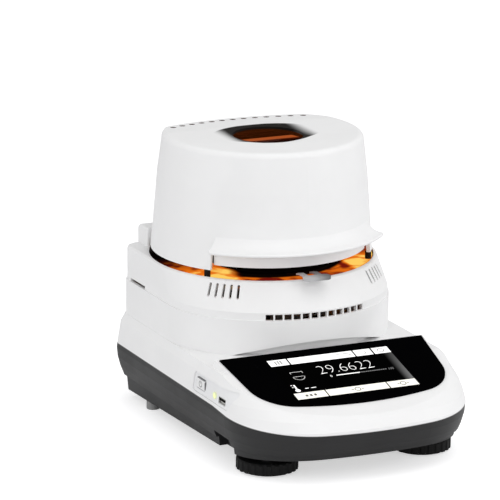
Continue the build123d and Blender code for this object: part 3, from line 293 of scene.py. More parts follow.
WHITE = (0.85, 0.85, 0.852)
WHITE_SHADE = (0.83, 0.83, 0.832)
PLATE = (0.82, 0.825, 0.835)
PLATE_SHADE = (0.80, 0.805, 0.815)
DARK = (0.012, 0.012, 0.0125)
DARK_SHADE = (0.009, 0.009, 0.0095)
WHEEL = (0.008, 0.008, 0.008)
SOCKET = (0.03, 0.03, 0.032)
RUBBER = (0.012, 0.008, 0.006)
BLACK = (0.006, 0.006, 0.006)
PEG = (0.30, 0.30, 0.30)
PEG_SHADE = (0.26, 0.26, 0.26)
white_cover = plastic("white_cover", WHITE, WHITE_SHADE, 0.42, FINE_GRAIN, joint=True)
white_band = plastic("white_band", WHITE, WHITE_SHADE, 0.40, LID_GRAIN)
plate_white = plastic("plate_white", PLATE, PLATE_SHADE, 0.45, FINE_GRAIN)
dark_tub = plastic("dark_tub", DARK, DARK_SHADE, 0.45, TUB_GRAIN, joint=True, gloss=0.38)
black_wheel = plastic("black_wheel", WHEEL, BLACK, 0.5, TUB_GRAIN, gloss=0.15)
black_moulding = plastic("black_moulding", SOCKET, BLACK, 0.4, COARSE_GRAIN)
peg_grey = plastic("peg_grey", PEG, PEG_SHADE, 0.5, COARSE_GRAIN, gloss=0.3)
soft_rubber = plastic("soft_rubber", RUBBER, BLACK, 0.7, RUBBER_GRAIN, gloss=0.1)
print("plastics", len(bpy.data.materials))

# %% [markdown]
# ## Top of the lid
# The lid's top is darker round the sight window: painted shade where the rim turns down into the
# dark hole, widest to the left and right of the hole and fading out into the white. It is painted
# as a distance from an ellipse, because a separate printed sheet would have to follow the lid's
# slope and show an edge.

# %% Painted shade round the window
WINDOW_SHADE_CENTRE_Y = 67.8 * MM
WINDOW_SHADE_X = 48.0 * MM
WINDOW_SHADE_Y = 32.0 * MM
WINDOW_SHADE_EDGE = 0.93
WINDOW_SHADE_DARK_X = 27.0 * MM
WINDOW_SHADE_CLEAR_X = 42.0 * MM
TOP_FACE_LOW_Z = 228.0 * MM
WINDOW_SHADE_ROUGHNESS = 0.5
LID_ROUGHNESS = 0.40
lid_paint = Paint("white_lid_painted_shade")
lid_x, lid_y, lid_z = lid_paint.axes()
lid_cloud, lid_tone = clouded(lid_paint, WHITE, WHITE_SHADE)
far_x = lid_x / WINDOW_SHADE_X
far_y = (lid_y - WINDOW_SHADE_CENTRE_Y) / WINDOW_SHADE_Y
ellipse = far_x * far_x + far_y * far_y
fade = 1.0 - lid_x.size().ramp(WINDOW_SHADE_DARK_X, WINDOW_SHADE_CLEAR_X)
on_top = lid_z > TOP_FACE_LOW_Z
# Painted shade round the window: darker inside the ellipse, strongest to the left and right.
window_shade = (1.0 - ellipse.ramp(WINDOW_SHADE_EDGE, 1.0)) * on_top * fade
print("painted shade round the window", round(2 * WINDOW_SHADE_CLEAR_X / MM), "mm wide")

# %% [markdown]
# The vents behind the window are real holes in the solid lid. The heater's light reaches their
# walls and makes them dull red, and that red is painted into the walls' colour as painted light.
# A place lies on such a wall when it is a little below the sloping roof and inside the row of
# holes, so a depth and three limits find it.

# %% Painted glow on the walls of the vents
LID_TOP_Z = 235.5 * MM
LID_SLOPE_Y = 98.0 * MM
LID_SLOPE = 3.6 / 45.0
VENT_REACH = 159.8 * MM
VENT_CENTRE_Y = -23.0 * MM
VENT_HALF_ROW = 66.0 * MM
VENT_DEPTH = 0.25 * MM
VENT_FRONT_Y = 112.0 * MM
VENT_GLOW_RED = (0.055, 0.006, 0.005)
WINDOW_SHADE_BLACK = (0.006, 0.004, 0.003)
depth = (LID_TOP_Z - lid_z) - (lid_y - LID_SLOPE_Y) * LID_SLOPE
arc = lid_x.reach(lid_y - VENT_CENTRE_Y)
in_row = (lid_x.size() < VENT_HALF_ROW) * (arc < VENT_REACH) * (lid_y > VENT_FRONT_Y)
vent = in_row * (depth > VENT_DEPTH) * on_top
# Painted light: the heater's dull red glow on the vents' walls.
lid_tone = lid_paint.mix(vent, lid_tone, VENT_GLOW_RED)
# The lid's colour takes in the vents' painted red glow and the painted shade round the window.
lid_paint.set(
    Base_Color=lid_paint.mix(window_shade, lid_tone, WINDOW_SHADE_BLACK),
    Roughness=lid_cloud * CLOUD_GLOSS + LID_ROUGHNESS + window_shade * WINDOW_SHADE_ROUGHNESS,
    Normal=lid_paint.bump(lid_paint.noise(GRAIN, 1.0), LID_GRAIN),
    Specular_IOR_Level=0.25,
)
shaded_lid = lid_paint.material
print("vents painted", VENT_GLOW_RED)

# %% [markdown]
# ## Display plate and screen
# The display plate is glossy black and the unlit screen behind it is as dark. In the photo neither
# mirrors the room, apart from a grey sheen along the screen's right end. So both are black without
# any reflection, and the sheen is painted on the screen as faint light of its own.

# %% Black plate and unlit screen
INK_BLACK = (0.001, 0.001, 0.0012)
GLASS_BLACK = (0.001, 0.001, 0.001)
NO_LIGHT = (0.0, 0.0, 0.0)
SHEEN = (0.20, 0.20, 0.20)
SHEEN_START = 45.0 * MM
SHEEN_END = 54.0 * MM
SHEEN_FRONT_Y = -110.0 * MM
SHEEN_REAR_Y = -50.0 * MM
SHEEN_LOSS = 0.7
DUST = 300.0
SMEAR = 60.0
plate = Paint("display_plate")
dust = plate.noise(DUST, 2.0)
plate.set(Base_Color=INK_BLACK, Roughness=dust * 0.04 + 0.07, Specular_IOR_Level=0.0)
display_plate = plate.material

screen = Paint("screen_off")
smear = screen.noise(SMEAR, 3.0)
sheen_x, sheen_y, _ = screen.axes()
rearwards = sheen_y.ramp(SHEEN_FRONT_Y, SHEEN_REAR_Y)
sheen = sheen_x.ramp(SHEEN_START, SHEEN_END) * (1.0 - rearwards * SHEEN_LOSS)
screen.set(
    Base_Color=GLASS_BLACK,
    Roughness=smear * 0.05 + 0.10,
    Emission_Color=screen.mix(sheen, NO_LIGHT, SHEEN),
    Emission_Strength=1.0,
    Specular_IOR_Level=0.0,
)
screen_off = screen.material
print("display finishes", display_plate.name, screen_off.name)

# %% [markdown]
# ## Metals
# Pins and shafts are polished, sheet parts are brushed and castings are dull. Brushed steel has
# fine lines along the direction in which it was worked, so its noise is stretched that way. The
# pan, the pot and the shield are bare metal too, but in the chamber only the heater's glow could
# show in them. There they look nearly black, so they are given a dull near-black colour: painted
# shade in place of the bare metal's own colour.

# %% Metal finishes
BRUSH = 700.0
BRUSH_DEPTH = 0.004 * MM
BRUSH_SPREAD = 0.12
STAIN = 30.0
STAIN_SHARE = 0.86


def metal(name, colour, roughness, brush=(1.0, 1.0, 1.0)):
    """Bare metal, polished or brushed along the axis whose stretch is small."""
    paint = Paint(name)
    lines = paint.noise(BRUSH, 3.0, stretch=brush)
    stain = paint.noise(STAIN, 3.0).ramp(0.3, 0.7)
    paint.set(
        Base_Color=paint.mix(stain, colour, tuple(part * STAIN_SHARE for part in colour)),
        Metallic=1.0,
        Roughness=lines * BRUSH_SPREAD + roughness,
        Normal=paint.bump(lines, BRUSH_DEPTH),
    )
    return paint.material


PAN_DARK = (0.010, 0.007, 0.006)
PAN_SHADE = (0.008, 0.006, 0.005)
POT_DARK = (0.012, 0.009, 0.008)
polished = metal("polished_steel", (0.74, 0.74, 0.75), 0.08)
sheet_metal = metal("sheet_metal", (0.60, 0.61, 0.62), 0.28, brush=(0.05, 1.0, 1.0))
cast_alloy = metal("cast_alloy", (0.70, 0.70, 0.70), 0.38)
nickel = metal("nickel", (0.66, 0.66, 0.64), 0.18)
turned_brass = metal("turned_brass", (0.72, 0.50, 0.20), 0.25, brush=(1.0, 1.0, 6.0))
# Painted shade: the bare pan, pot, shield, guard and sensor are made a dull near-black.
pan_metal = plastic("pan_metal", PAN_DARK, PAN_SHADE, 0.5, FINE_GRAIN, gloss=0.0)
shaded_steel = plastic("shaded_steel", POT_DARK, PAN_DARK, 0.5, FINE_GRAIN, gloss=0.0)
print("materials so far", len(bpy.data.materials))

# %% [markdown]
# ## Heat
# With the lid shut and the heater on, orange light fills the chamber. It shows in the gap under
# the lid, in the round window and as dull red behind the vents. Light that finds its way through
# such narrow gaps needs many samples, so the glow is painted: the tray and the lifter are painted
# nearly black as shade and give painted light of their own at the tray's rim and at both sides of
# the front notch. It runs from dark red to yellow-orange and dies away towards the rear.

# %% Glowing steel of the chamber tray
EMBER = (0.17, 0.007, 0.003)
FLAME = (0.80, 0.16, 0.006)
BRIGHT = (1.0, 0.62, 0.12)
TRAY_DARK = (0.010, 0.006, 0.005)
GRIP_LIGHT = (0.50, 0.50, 0.51)
GRIP_DARK = (0.14, 0.14, 0.145)
CHAMBER_Y = 74.7 * MM
RIM_RADIUS = 70.0 * MM
RIM_FADE = 4.0 * MM
LEFT_GLOW = 49.0 * MM
RIGHT_GLOW = 60.0 * MM
SIDE_FADE = 9.0 * MM
FADE_START = 48.0 * MM
FADE_END = 100.0 * MM
OUTER_WALL = 92.6 * MM
GRIP_REAR = -8.0 * MM
GRIP_LEFT = -8.0 * MM
GRIP_RIGHT = 14.0 * MM
HOT_START = 32.0 * MM
HOT_END = 72.0 * MM
SIDE_HEAT = 0.62
RIPPLE_HEAT = 0.42
RIPPLE = 85.0
RIPPLE_STRETCH = (1.0, 1.0, 0.3)


def heat_colour(paint, amount):
    """Dark red at 0, orange at a half, yellow at 1."""
    low = paint.mix(amount.ramp(0.0, 0.55), EMBER, FLAME)
    return paint.mix(amount.ramp(0.5, 1.0), low, BRIGHT)


def glowing_steel(name, grip=False):
    """Steel painted dark as shade, with painted glow beside the front notch and at the tray's rim.
    """
    paint = Paint(name)
    x, y, _ = paint.axes()
    away = x.reach(y - CHAMBER_Y)
    left = (x * -1.0).ramp(LEFT_GLOW - SIDE_FADE, LEFT_GLOW)
    side = left.larger(x.ramp(RIGHT_GLOW - SIDE_FADE, RIGHT_GLOW))
    rim = away.ramp(RIM_RADIUS - RIM_FADE, RIM_RADIUS)
    ripple = paint.noise(RIPPLE, 1.5, stretch=RIPPLE_STRETCH).ramp(0.36, 0.64)
    glow = side if grip else side.larger(rim)
    lit_part = glow * (1.0 - y.ramp(FADE_START, FADE_END)) * (away < OUTER_WALL)
    hot = side * (1.0 - y.ramp(HOT_START, HOT_END)) * SIDE_HEAT + ripple * RIPPLE_HEAT
    base = TRAY_DARK
    if grip:
        handle = y < GRIP_REAR
        lit_part = lit_part * (1.0 - handle)
        # Painted highlight and shade on the grip: light grey at its left, dark grey towards its
        # tip.
        grip_shade = x.ramp(GRIP_LEFT, GRIP_RIGHT)
        base = paint.mix(handle, base, paint.mix(grip_shade, GRIP_LIGHT, GRIP_DARK))
    paint.set(
        Base_Color=base,
        Roughness=ripple * 0.1 + 0.45,
        Emission_Color=paint.mix(lit_part, NO_LIGHT, heat_colour(paint, hot)),
        Emission_Strength=1.0,
        Specular_IOR_Level=0.0,
    )
    return paint.material


tray_steel = glowing_steel("tray_steel")
lifter_steel = glowing_steel("lifter_steel", grip=True)
print("glowing steel", tray_steel.name, lifter_steel.name)

# %% [markdown]
# The lid's steel liner is polished and mirrors what is near it. It is given a painted glow, weak
# towards its roof and stronger under the vents, where it is seen as the red behind the holes.

# %% Liner of the lid
LINER_LOW_Z = 150.0 * MM
LINER_ROOF_Z = 226.0 * MM
LINER_TOP_Z = 229.0 * MM
REAR_GLOW_Y = 115.0 * MM
REAR_FULL_Y = 130.0 * MM
REAR_RED = (1.4, 0.22, 0.10)
LINER_BROWN = (0.030, 0.018, 0.014)
LINER_STREAK = 45.0
ROOF_HEAT = 0.45
STREAK_HEAT = 0.1
LINER_LIGHT = 0.12
liner = Paint("liner_steel")
_, liner_y, liner_z = liner.axes()
liner_streak = liner.noise(LINER_STREAK, 3.0).ramp(0.3, 0.7)
# Painted light: the heater's glow on the liner, growing towards its roof and red behind the vents.
roofward = liner_z.ramp(LINER_LOW_Z, LINER_ROOF_Z)
liner_heat = roofward * ROOF_HEAT + liner_streak * STREAK_HEAT
behind_vents = liner_y.ramp(REAR_GLOW_Y, REAR_FULL_Y) * liner_z.ramp(LINER_ROOF_Z, LINER_TOP_Z)
liner.set(
    Base_Color=LINER_BROWN,
    Metallic=1.0,
    Roughness=liner_streak * 0.08 + 0.12,
    Emission_Color=liner.mix(behind_vents, heat_colour(liner, liner_heat), REAR_RED),
    Emission_Strength=LINER_LIGHT,
)
liner_steel = liner.material
print("liner", liner_steel.name)

# %% [markdown]
# Through the window a heater tube shows as one bright orange line on its crest, above a deep red
# belly. Both are bands of height on the tube. The window itself is dark tinted glass that lets half
# of the light through, with faint streaks across it.

# %% Tubes and window
TUBE_Z = 222.5 * MM
CREST_LOW = 2.2 * MM
CREST_HIGH = 3.1 * MM
BELLY_LOW = 0.6 * MM
BELLY_HIGH = 2.4 * MM
TUBE_RED = (0.10, 0.012, 0.003)
TUBE_ORANGE = (0.95, 0.20, 0.045)
TUBE_LIGHT = 1.6
GLASS_DARK = (0.004, 0.001, 0.001)
GLASS_RED = (0.030, 0.006, 0.003)
GLASS_HAZE = 40.0
GLASS_STREAK = 60.0
GLASS_STRETCH = (0.12, 1.0, 1.0)
GLASS_COVER = 0.5
tube = Paint("glowing_tube")
_, _, tube_z = tube.axes()
crest = tube_z.ramp(TUBE_Z + CREST_LOW, TUBE_Z + CREST_HIGH)
belly = tube_z.ramp(TUBE_Z + BELLY_LOW, TUBE_Z + BELLY_HIGH)
tube.set(
    Base_Color=(0.02, 0.008, 0.004),
    Roughness=0.1,
    Emission_Color=tube.mix(crest, tube.mix(belly, NO_LIGHT, TUBE_RED), TUBE_ORANGE),
    Emission_Strength=TUBE_LIGHT,
)
tube_glass = tube.material

glass = Paint("sight_glass")
haze = glass.noise(GLASS_HAZE, 2.0)
streak = glass.noise(GLASS_STREAK, 3.0, stretch=GLASS_STRETCH).ramp(0.45, 0.62)
glass.set(
    Base_Color=glass.mix(streak, GLASS_DARK, GLASS_RED),
    Roughness=haze * 0.04 + 0.08,
    Alpha=GLASS_COVER,
    Specular_IOR_Level=0.0,
)
sight_glass = glass.material
print("tube and glass", tube_glass.name, sight_glass.name)

# %% [markdown]
# ## Small parts
# The round level is a green vial with a bubble and a ring engraved on its glass. From above, both
# are circles about the vial's middle, so a distance from that point draws them.

# %% Level vial
BUBBLE = 1.7 * MM
ENGRAVED_RING = 2.6 * MM
ENGRAVED_HALF_WIDTH = 0.22 * MM
CASE = 4.3 * MM
LIQUID_GREEN = (0.35, 0.60, 0.12)
RING_BLACK = (0.02, 0.03, 0.01)
BUBBLE_PALE = (0.70, 0.85, 0.45)
CASE_GREY = (0.75, 0.75, 0.76)


def middle_of(low, high):
    """The point halfway between two corners."""
    return (Vector(low) + Vector(high)) / 2


vial_low, vial_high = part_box("bubble_level")
vial_middle = middle_of(vial_low, vial_high)
vial = Paint("level_vial")
vial_x, vial_y, _ = vial.axes()
from_middle = (vial_x - vial_middle.x).reach(vial_y - vial_middle.y)
engraved = (from_middle - ENGRAVED_RING).size() < ENGRAVED_HALF_WIDTH
vial_tone = vial.mix(engraved, LIQUID_GREEN, RING_BLACK)
vial_tone = vial.mix(from_middle < BUBBLE, vial_tone, BUBBLE_PALE)
vial_tone = vial.mix(from_middle > CASE, vial_tone, CASE_GREY)
vial.set(Base_Color=vial_tone, Roughness=0.08, Coat_Weight=0.6)
level_vial = vial.material
print("vial at", [round(c / MM, 1) for c in vial_middle])

# %% [markdown]
# Circuit boards are green solder mask with paler tracks, and the heater's end caps are chalky
# ceramic. Both are noise: long stretched patches for the tracks, fine pores for the ceramic.

# %% Boards and ceramics
TRACKS = 260.0
TRACK_STRETCH = (1.0, 0.15, 1.0)
MASK_GREEN = (0.010, 0.085, 0.035)
TRACK_GREEN = (0.03, 0.17, 0.07)
PORES = 900.0
CHALK = (0.74, 0.71, 0.65)
board = Paint("solder_mask")
track = board.noise(TRACKS, 1.0, stretch=TRACK_STRETCH).ramp(0.52, 0.56)
board.set(
    Base_Color=board.mix(track, MASK_GREEN, TRACK_GREEN),
    Roughness=track * 0.1 + 0.35,
)
solder_mask = board.material

chalk = Paint("ceramic")
pore = chalk.noise(PORES, 3.0)
chalk.set(Base_Color=CHALK, Roughness=0.8, Normal=chalk.bump(pore, COARSE_GRAIN))
ceramic = chalk.material
print("board and ceramic", solder_mask.name, ceramic.name)

# %% [markdown]
# The power button is a white cap with a grey line painted along its edge as the shade of the
# groove round it, and the lamp in front of it is a yellow-green lens that is lit. The line is where
# the cap's face comes near its border. The lens is brightest in its middle, which a ramp of the
# squared distance gives.

# %% Button and lamp
CAP_LINE = 0.45 * MM
CAP_WHITE = (0.80, 0.80, 0.80)
CAP_GREY = (0.16, 0.16, 0.165)
LENS_SQUARE = 8.5 * MM * MM
LENS_LIGHT = 0.35
cap = Paint("button_white")
_, cap_y, cap_z = cap.axes()
cap_low, cap_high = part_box("power_button")
cap_middle = middle_of(cap_low, cap_high)
# Painted shade: a grey line along the cap's edge, for the groove round the button.
beside = (cap_y - cap_middle.y).size() - (cap_high[1] - cap_middle.y - CAP_LINE)
above = (cap_z - cap_middle.z).size() - (cap_high[2] - cap_middle.z - CAP_LINE)
cap.set(
    Base_Color=cap.mix(beside.larger(above) > 0.0, CAP_WHITE, CAP_GREY),
    Roughness=cap.noise(200.0) * 0.05 + 0.35,
)
button_white = cap.material

lamp = Paint("status_lens")
_, lamp_y, lamp_z = lamp.axes()
lamp_low, lamp_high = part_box("status_led")
lamp_middle = middle_of(lamp_low, lamp_high)
away_y = lamp_y - lamp_middle.y
away_z = lamp_z - lamp_middle.z
lens_rim = (away_y * away_y + away_z * away_z).ramp(0.0, LENS_SQUARE)
lamp.set(
    Base_Color=lamp.mix(lens_rim, (0.86, 0.92, 0.42), (0.74, 0.78, 0.50)),
    Roughness=0.15,
    Emission_Color=lamp.mix(lens_rim, (0.80, 0.92, 0.34), (0.30, 0.33, 0.16)),
    Emission_Strength=LENS_LIGHT,
)
status_lens = lamp.material
print("button and lamp", button_white.name, status_lens.name)

# %% [markdown]
# ## Finishes on the solids
# Each finish is given to the solids that carry it. The list is written the finish first, so that
# it reads like a maker's order to the paint shop.

# %% Give every solid its finish
FINISHES = {
    white_cover: ["top_cover", "chamber_collar", "hinge_housing"],
    shaded_lid: ["lid_shell"],
    white_band: ["lid_inner_ring"],
    dark_tub: ["base_tub", "rear_panel"],
    display_plate: ["display_facia"],
    screen_off: ["lcd_panel"],
    solder_mask: ["display_board", "mainboard"],
    button_white: ["power_button"],
    plate_white: ["side_panel"],
    status_lens: ["status_led"],
    nickel: ["usb_port_side", "serial_port", "usb_b_port", "cover_screws"],
    black_moulding: ["mains_inlet", "switch_frame", "mains_rocker"],
    black_wheel: ["level_wheel_left", "level_wheel_right"],
    lifter_steel: ["pan_lifter"],
    level_vial: ["bubble_level"],
    peg_grey: ["rear_pegs"],
    turned_brass: ["foot_bushings"],
    sheet_metal: ["level_stud_left", "level_stud_right", "hinge_arm_left", "hinge_arm_right"],
    polished: ["hinge_pin", "weigh_shaft"],
    tray_steel: ["chamber_ring"],
    liner_steel: ["lid_liner", "heater_brackets"],
    shaded_steel: ["chamber_pot", "heat_shield", "heater_guard", "temperature_sensor"],
    cast_alloy: ["weigh_cell", "cell_bracket", "power_supply", "pan_support"],
    pan_metal: ["sample_pan"],
    soft_rubber: ["foot_pad_left", "foot_pad_right", "lid_bumpers"],
    sight_glass: ["window_glass"],
    tube_glass: ["heater_tubes"],
    ceramic: ["heater_caps"],
}
finished = set()
for finish, names in FINISHES.items():
    for name in names:
        mesh = NODES[name].data
        mesh.materials.clear()
        mesh.materials.append(finish)
        finished.add(name)
print("left without a finish:", sorted(set(NODES) - finished))

# %% [markdown]
# ## Pieces made here
# Each piece is drawn in a bmesh and put straight into its place, so that its object stays at the
# origin. A short function turns a finished bmesh into an object that rides on a body. Pixels and
# ink are another short function, because they differ only in colour and in how much they shine.

# %% From bmesh to object
PIXEL_CELLS = 900.0
PIXEL_SHADE = 0.94


def piece(name, form, material, body):
    """An object made of a bmesh that rides on a body."""
    mesh = bpy.data.meshes.new(name)
    form.to_mesh(mesh)
    form.free()
    mesh.materials.append(material)
    made = bpy.data.objects.new(name, mesh)
    scene.collection.objects.link(made)
    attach(made, body)
    print(name, len(mesh.polygons), "faces")


def lit(name, colour, strength):
    """Ink or pixels that give light of their own."""
    paint = Paint(name)
    cells = paint.noise(PIXEL_CELLS, 1.0)
    tone = paint.mix(cells, colour, tuple(part * PIXEL_SHADE for part in colour))
    paint.set(Base_Color=tone, Roughness=0.3, Emission_Color=tone, Emission_Strength=strength)
    return paint.material


white_pixels = lit("white_pixels", (0.86, 0.86, 0.85), 0.55)
warm_pixels = lit("warm_pixels", (0.80, 0.79, 0.72), 0.50)
dark_pixels = lit("dark_pixels", (0.10, 0.10, 0.10), 0.05)
grey_pixels = lit("grey_pixels", (0.16, 0.16, 0.16), 0.25)
ink_grey = lit("ink_grey", (0.035, 0.035, 0.037), 0.0)
print("pixels and ink ready")

# %% [markdown]
# ### What the screen shows
# The screen's picture is a set of thin flat shapes just above the glass: bars along the top and
# bottom, the large reading, a progress bar and small signs. They are laid out in fractions of the
# screen, as a user interface is, and then turned into the slope of the display. An image would be
# blurred close up, and these shapes stay sharp.

# %% The screen's place
SCREEN_TILT = math.radians(14.8)
SCREEN_CENTRE = Vector((0.0, -80.0 * MM, 70.1 * MM))
SCREEN_WIDTH = 108.0 * MM
SCREEN_HEIGHT = 61.0 * MM
SCREEN_RECESS = 0.3 * MM
PIXEL_LIFT = 0.06 * MM
PIXEL_THICK = 0.04 * MM
to_screen = Matrix.Translation(SCREEN_CENTRE) @ Matrix.Rotation(SCREEN_TILT, 4, "X")


def screen_point(u, v, lift=0.0):
    """The place at u across and v down the screen, in the screen's own plane."""
    x = (u - 0.5) * SCREEN_WIDTH
    y = (0.5 - v) * SCREEN_HEIGHT
    return Vector((x, y, PIXEL_LIFT - SCREEN_RECESS + lift))


def add_bars(form, bars, layer=0):
    """Thin rectangles, each given by its left, top, right and bottom in fractions of the screen."""
    for u0, v0, u1, v1 in bars:
        low = screen_point(u0, v1, layer * PIXEL_THICK)
        high = screen_point(u1, v0, layer * PIXEL_THICK)
        size = Vector((high.x - low.x, high.y - low.y, PIXEL_THICK))
        box = bmesh.ops.create_cube(form, size=1.0)
        bmesh.ops.scale(form, vec=size, verts=box["verts"])
        bmesh.ops.translate(form, vec=(low + high) / 2, verts=box["verts"])


def add_ring(form, u, v, radius, width, start=0.0, sweep=360.0, steps=40, layer=0):
    """A flat arc or ring about a point of the screen, with its radius and width in metres."""
    centre = screen_point(u, v, layer * PIXEL_THICK)
    inner = form.verts.new(centre + Vector((radius - width / 2, 0, 0)))
    outer = form.verts.new(centre + Vector((radius + width / 2, 0, 0)))
    edge = form.edges.new((inner, outer))
    first_turn = Matrix.Rotation(math.radians(start), 3, "Z")
    bmesh.ops.rotate(form, cent=centre, matrix=first_turn, verts=[inner, outer])
    bmesh.ops.spin(
        form,
        geom=[inner, outer, edge],
        cent=centre,
        axis=(0, 0, 1),
        angle=math.radians(sweep),
        steps=steps,
        use_merge=sweep >= 360.0,
    )


def show(name, form, pixels):
    """Lays a drawing in the slope of the screen and makes it a piece of the display."""
    bmesh.ops.transform(form, matrix=to_screen, verts=form.verts)
    piece(name, form, pixels, "instrument")


print("screen", SCREEN_WIDTH / MM, "by", SCREEN_HEIGHT / MM, "mm")

# %% [markdown]
# A pale bar runs along the top and another along the bottom, each parted by thin dark gaps. The
# cells are separate rectangles, so the gaps are simply the black glass between them.

# %% Bars along the top and bottom
TOP_BAR = 0.150
BOTTOM_BAR = 0.845
TOP_CELLS = [(0.0, 0.155), (0.168, 0.700), (0.712, 0.852), (0.866, 1.0)]
BOTTOM_CELLS = [(0.0, 0.250), (0.260, 0.755), (0.765, 1.0)]

bars = bmesh.new()
add_bars(bars, [(u0, 0.0, u1, TOP_BAR) for u0, u1 in TOP_CELLS])
show("screen_top_bar", bars, white_pixels)

keys = bmesh.new()
add_bars(keys, [(u0, BOTTOM_BAR, u1, 1.0) for u0, u1 in BOTTOM_CELLS])
show("screen_keys", keys, warm_pixels)

# %% [markdown]
# The bars carry small dark signs: nine dots for the menu, two short strokes, a ring and an open
# ring at the top, and squares, rings and dashes on the keys. They lie one or two layers higher
# than the bars, so that no two faces share a plane.

# %% Dark signs printed on the bars
MENU_COLUMNS = (0.055, 0.077, 0.099)
MENU_ROWS = (0.045, 0.075, 0.105)
DOT_HALF_WIDTH = 0.007
DOT_HALF_HEIGHT = 0.010
TOP_STROKES = [(0.560, 0.045, 0.680, 0.055), (0.620, 0.085, 0.680, 0.095)]
KEY_SQUARES = [(u, 0.900, u + 0.020, 0.945) for u in (0.080, 0.115, 0.150)]
KEY_DASHES = [
    (0.455, 0.916, 0.477, 0.928),
    (0.540, 0.916, 0.562, 0.928),
    (0.835, 0.916, 0.853, 0.928),
    (0.915, 0.916, 0.933, 0.928),
]
KEY_RINGS = [(0.508, 0.922), (0.883, 0.922)]
signs = bmesh.new()
for u in MENU_COLUMNS:
    for v in MENU_ROWS:
        dot = (u - DOT_HALF_WIDTH, v - DOT_HALF_HEIGHT, u + DOT_HALF_WIDTH, v + DOT_HALF_HEIGHT)
        add_bars(signs, [dot], layer=1)
add_bars(signs, TOP_STROKES + KEY_SQUARES + KEY_DASHES, layer=1)
add_ring(signs, 0.930, 0.075, 2.6 * MM, 0.6 * MM, layer=2)
add_ring(signs, 0.782, 0.075, 2.2 * MM, 0.5 * MM, start=200, sweep=280, layer=2)
for u, v in KEY_RINGS:
    add_ring(signs, u, v, 2.4 * MM, 0.7 * MM, layer=2)
show("screen_signs", signs, dark_pixels)

# %% [markdown]
# On the dark field the signs are light: the done part of the progress bar, a pan under a bracket,
# a thermometer and two dashes. The rest of the progress bar is a row of grey ticks.

# %% Light signs on the dark field
PROGRESS_DONE = [(0.435, 0.527, 0.630, 0.547)]
BRACKET_STOPS = (0.100, 0.118, 0.185, 0.200)
BRACKET_TOP = [(u0, 0.340, u1, 0.345) for u0, u1 in zip(BRACKET_STOPS, BRACKET_STOPS[1:])]
BRACKET_SIDES = [(0.100, 0.340, 0.103, 0.380), (0.197, 0.340, 0.200, 0.380)]
PAN_LINE = [(0.105, 0.452, 0.185, 0.457)]
THERMOMETER = [
    (0.048, 0.640, 0.062, 0.780),
    (0.028, 0.640, 0.040, 0.655),
    (0.028, 0.690, 0.040, 0.705),
]
FIELD_DASHES = [(0.120, 0.745, 0.150, 0.760), (0.170, 0.745, 0.210, 0.760)]
marks = bmesh.new()
add_bars(marks, PROGRESS_DONE + BRACKET_TOP + BRACKET_SIDES + PAN_LINE)
add_bars(marks, THERMOMETER + FIELD_DASHES)
add_ring(marks, 0.145, 0.455, 5.0 * MM, 0.3 * MM, start=180, sweep=180, steps=20)
add_ring(marks, 0.055, 0.780, 1.1 * MM, 2.2 * MM)
show("screen_marks", marks, white_pixels)

REST_TICKS = 12
REST_START = 0.640
REST_STEP = 0.018
TICK_WIDTH = 0.014
rest_starts = [REST_START + REST_STEP * i for i in range(REST_TICKS)]
rest_bar = bmesh.new()
add_bars(rest_bar, [(u, 0.527, u + TICK_WIDTH, 0.545) for u in rest_starts])
show("screen_progress_rest", rest_bar, grey_pixels)

# %% [markdown]
# The reading is real type: a text curve, made a mesh, scaled to the height and width it has on
# the screen and laid in the slope. Only numbers are written. The reading's strokes are thin, so
# its outline is drawn in a little before the curve becomes a mesh.

# %% Numbers on the screen
TYPE_THICK = 0.002
TYPE_MERGE = 0.0001


def number(name, words, u0, v0, u1, v1, pixels, thin=0.0):
    """Digits that fill the rectangle between two corners of the screen."""
    curve = bpy.data.curves.new(name + "_type", "FONT")
    curve.body = words
    curve.size = 1.0
    curve.extrude = TYPE_THICK / 2
    curve.resolution_u = 6
    curve.offset = -thin
    draft = bpy.data.objects.new(name + "_draft", curve)
    mesh = bpy.data.meshes.new_from_object(draft)
    bpy.data.objects.remove(draft)
    form = bmesh.new()
    form.from_mesh(mesh)
    bpy.data.meshes.remove(mesh)
    bmesh.ops.remove_doubles(form, verts=form.verts, dist=TYPE_MERGE)
    xs = [v.co.x for v in form.verts]
    ys = [v.co.y for v in form.verts]
    low = screen_point(u0, v1)
    high = screen_point(u1, v0)
    wide = (high.x - low.x) / (max(xs) - min(xs))
    tall = (high.y - low.y) / (max(ys) - min(ys))
    bmesh.ops.translate(form, vec=(-min(xs), -min(ys), 0), verts=form.verts)
    bmesh.ops.scale(form, vec=(wide, tall, PIXEL_THICK / TYPE_THICK), verts=form.verts)
    bmesh.ops.translate(form, vec=low, verts=form.verts)
    show(name, form, pixels)


number("screen_reading", "29.6622", 0.328, 0.272, 0.778, 0.465, white_pixels, thin=0.03)
number("screen_scale_low", "0", 0.385, 0.515, 0.400, 0.560, white_pixels)
number("screen_scale_high", "100", 0.870, 0.515, 0.912, 0.560, grey_pixels)

# %% [markdown]
# ### Mark on the power button
# The button has the usual ring with a gap and a short bar. It is a thin line of ink, spun round
# the button's middle, and it rides with the button.

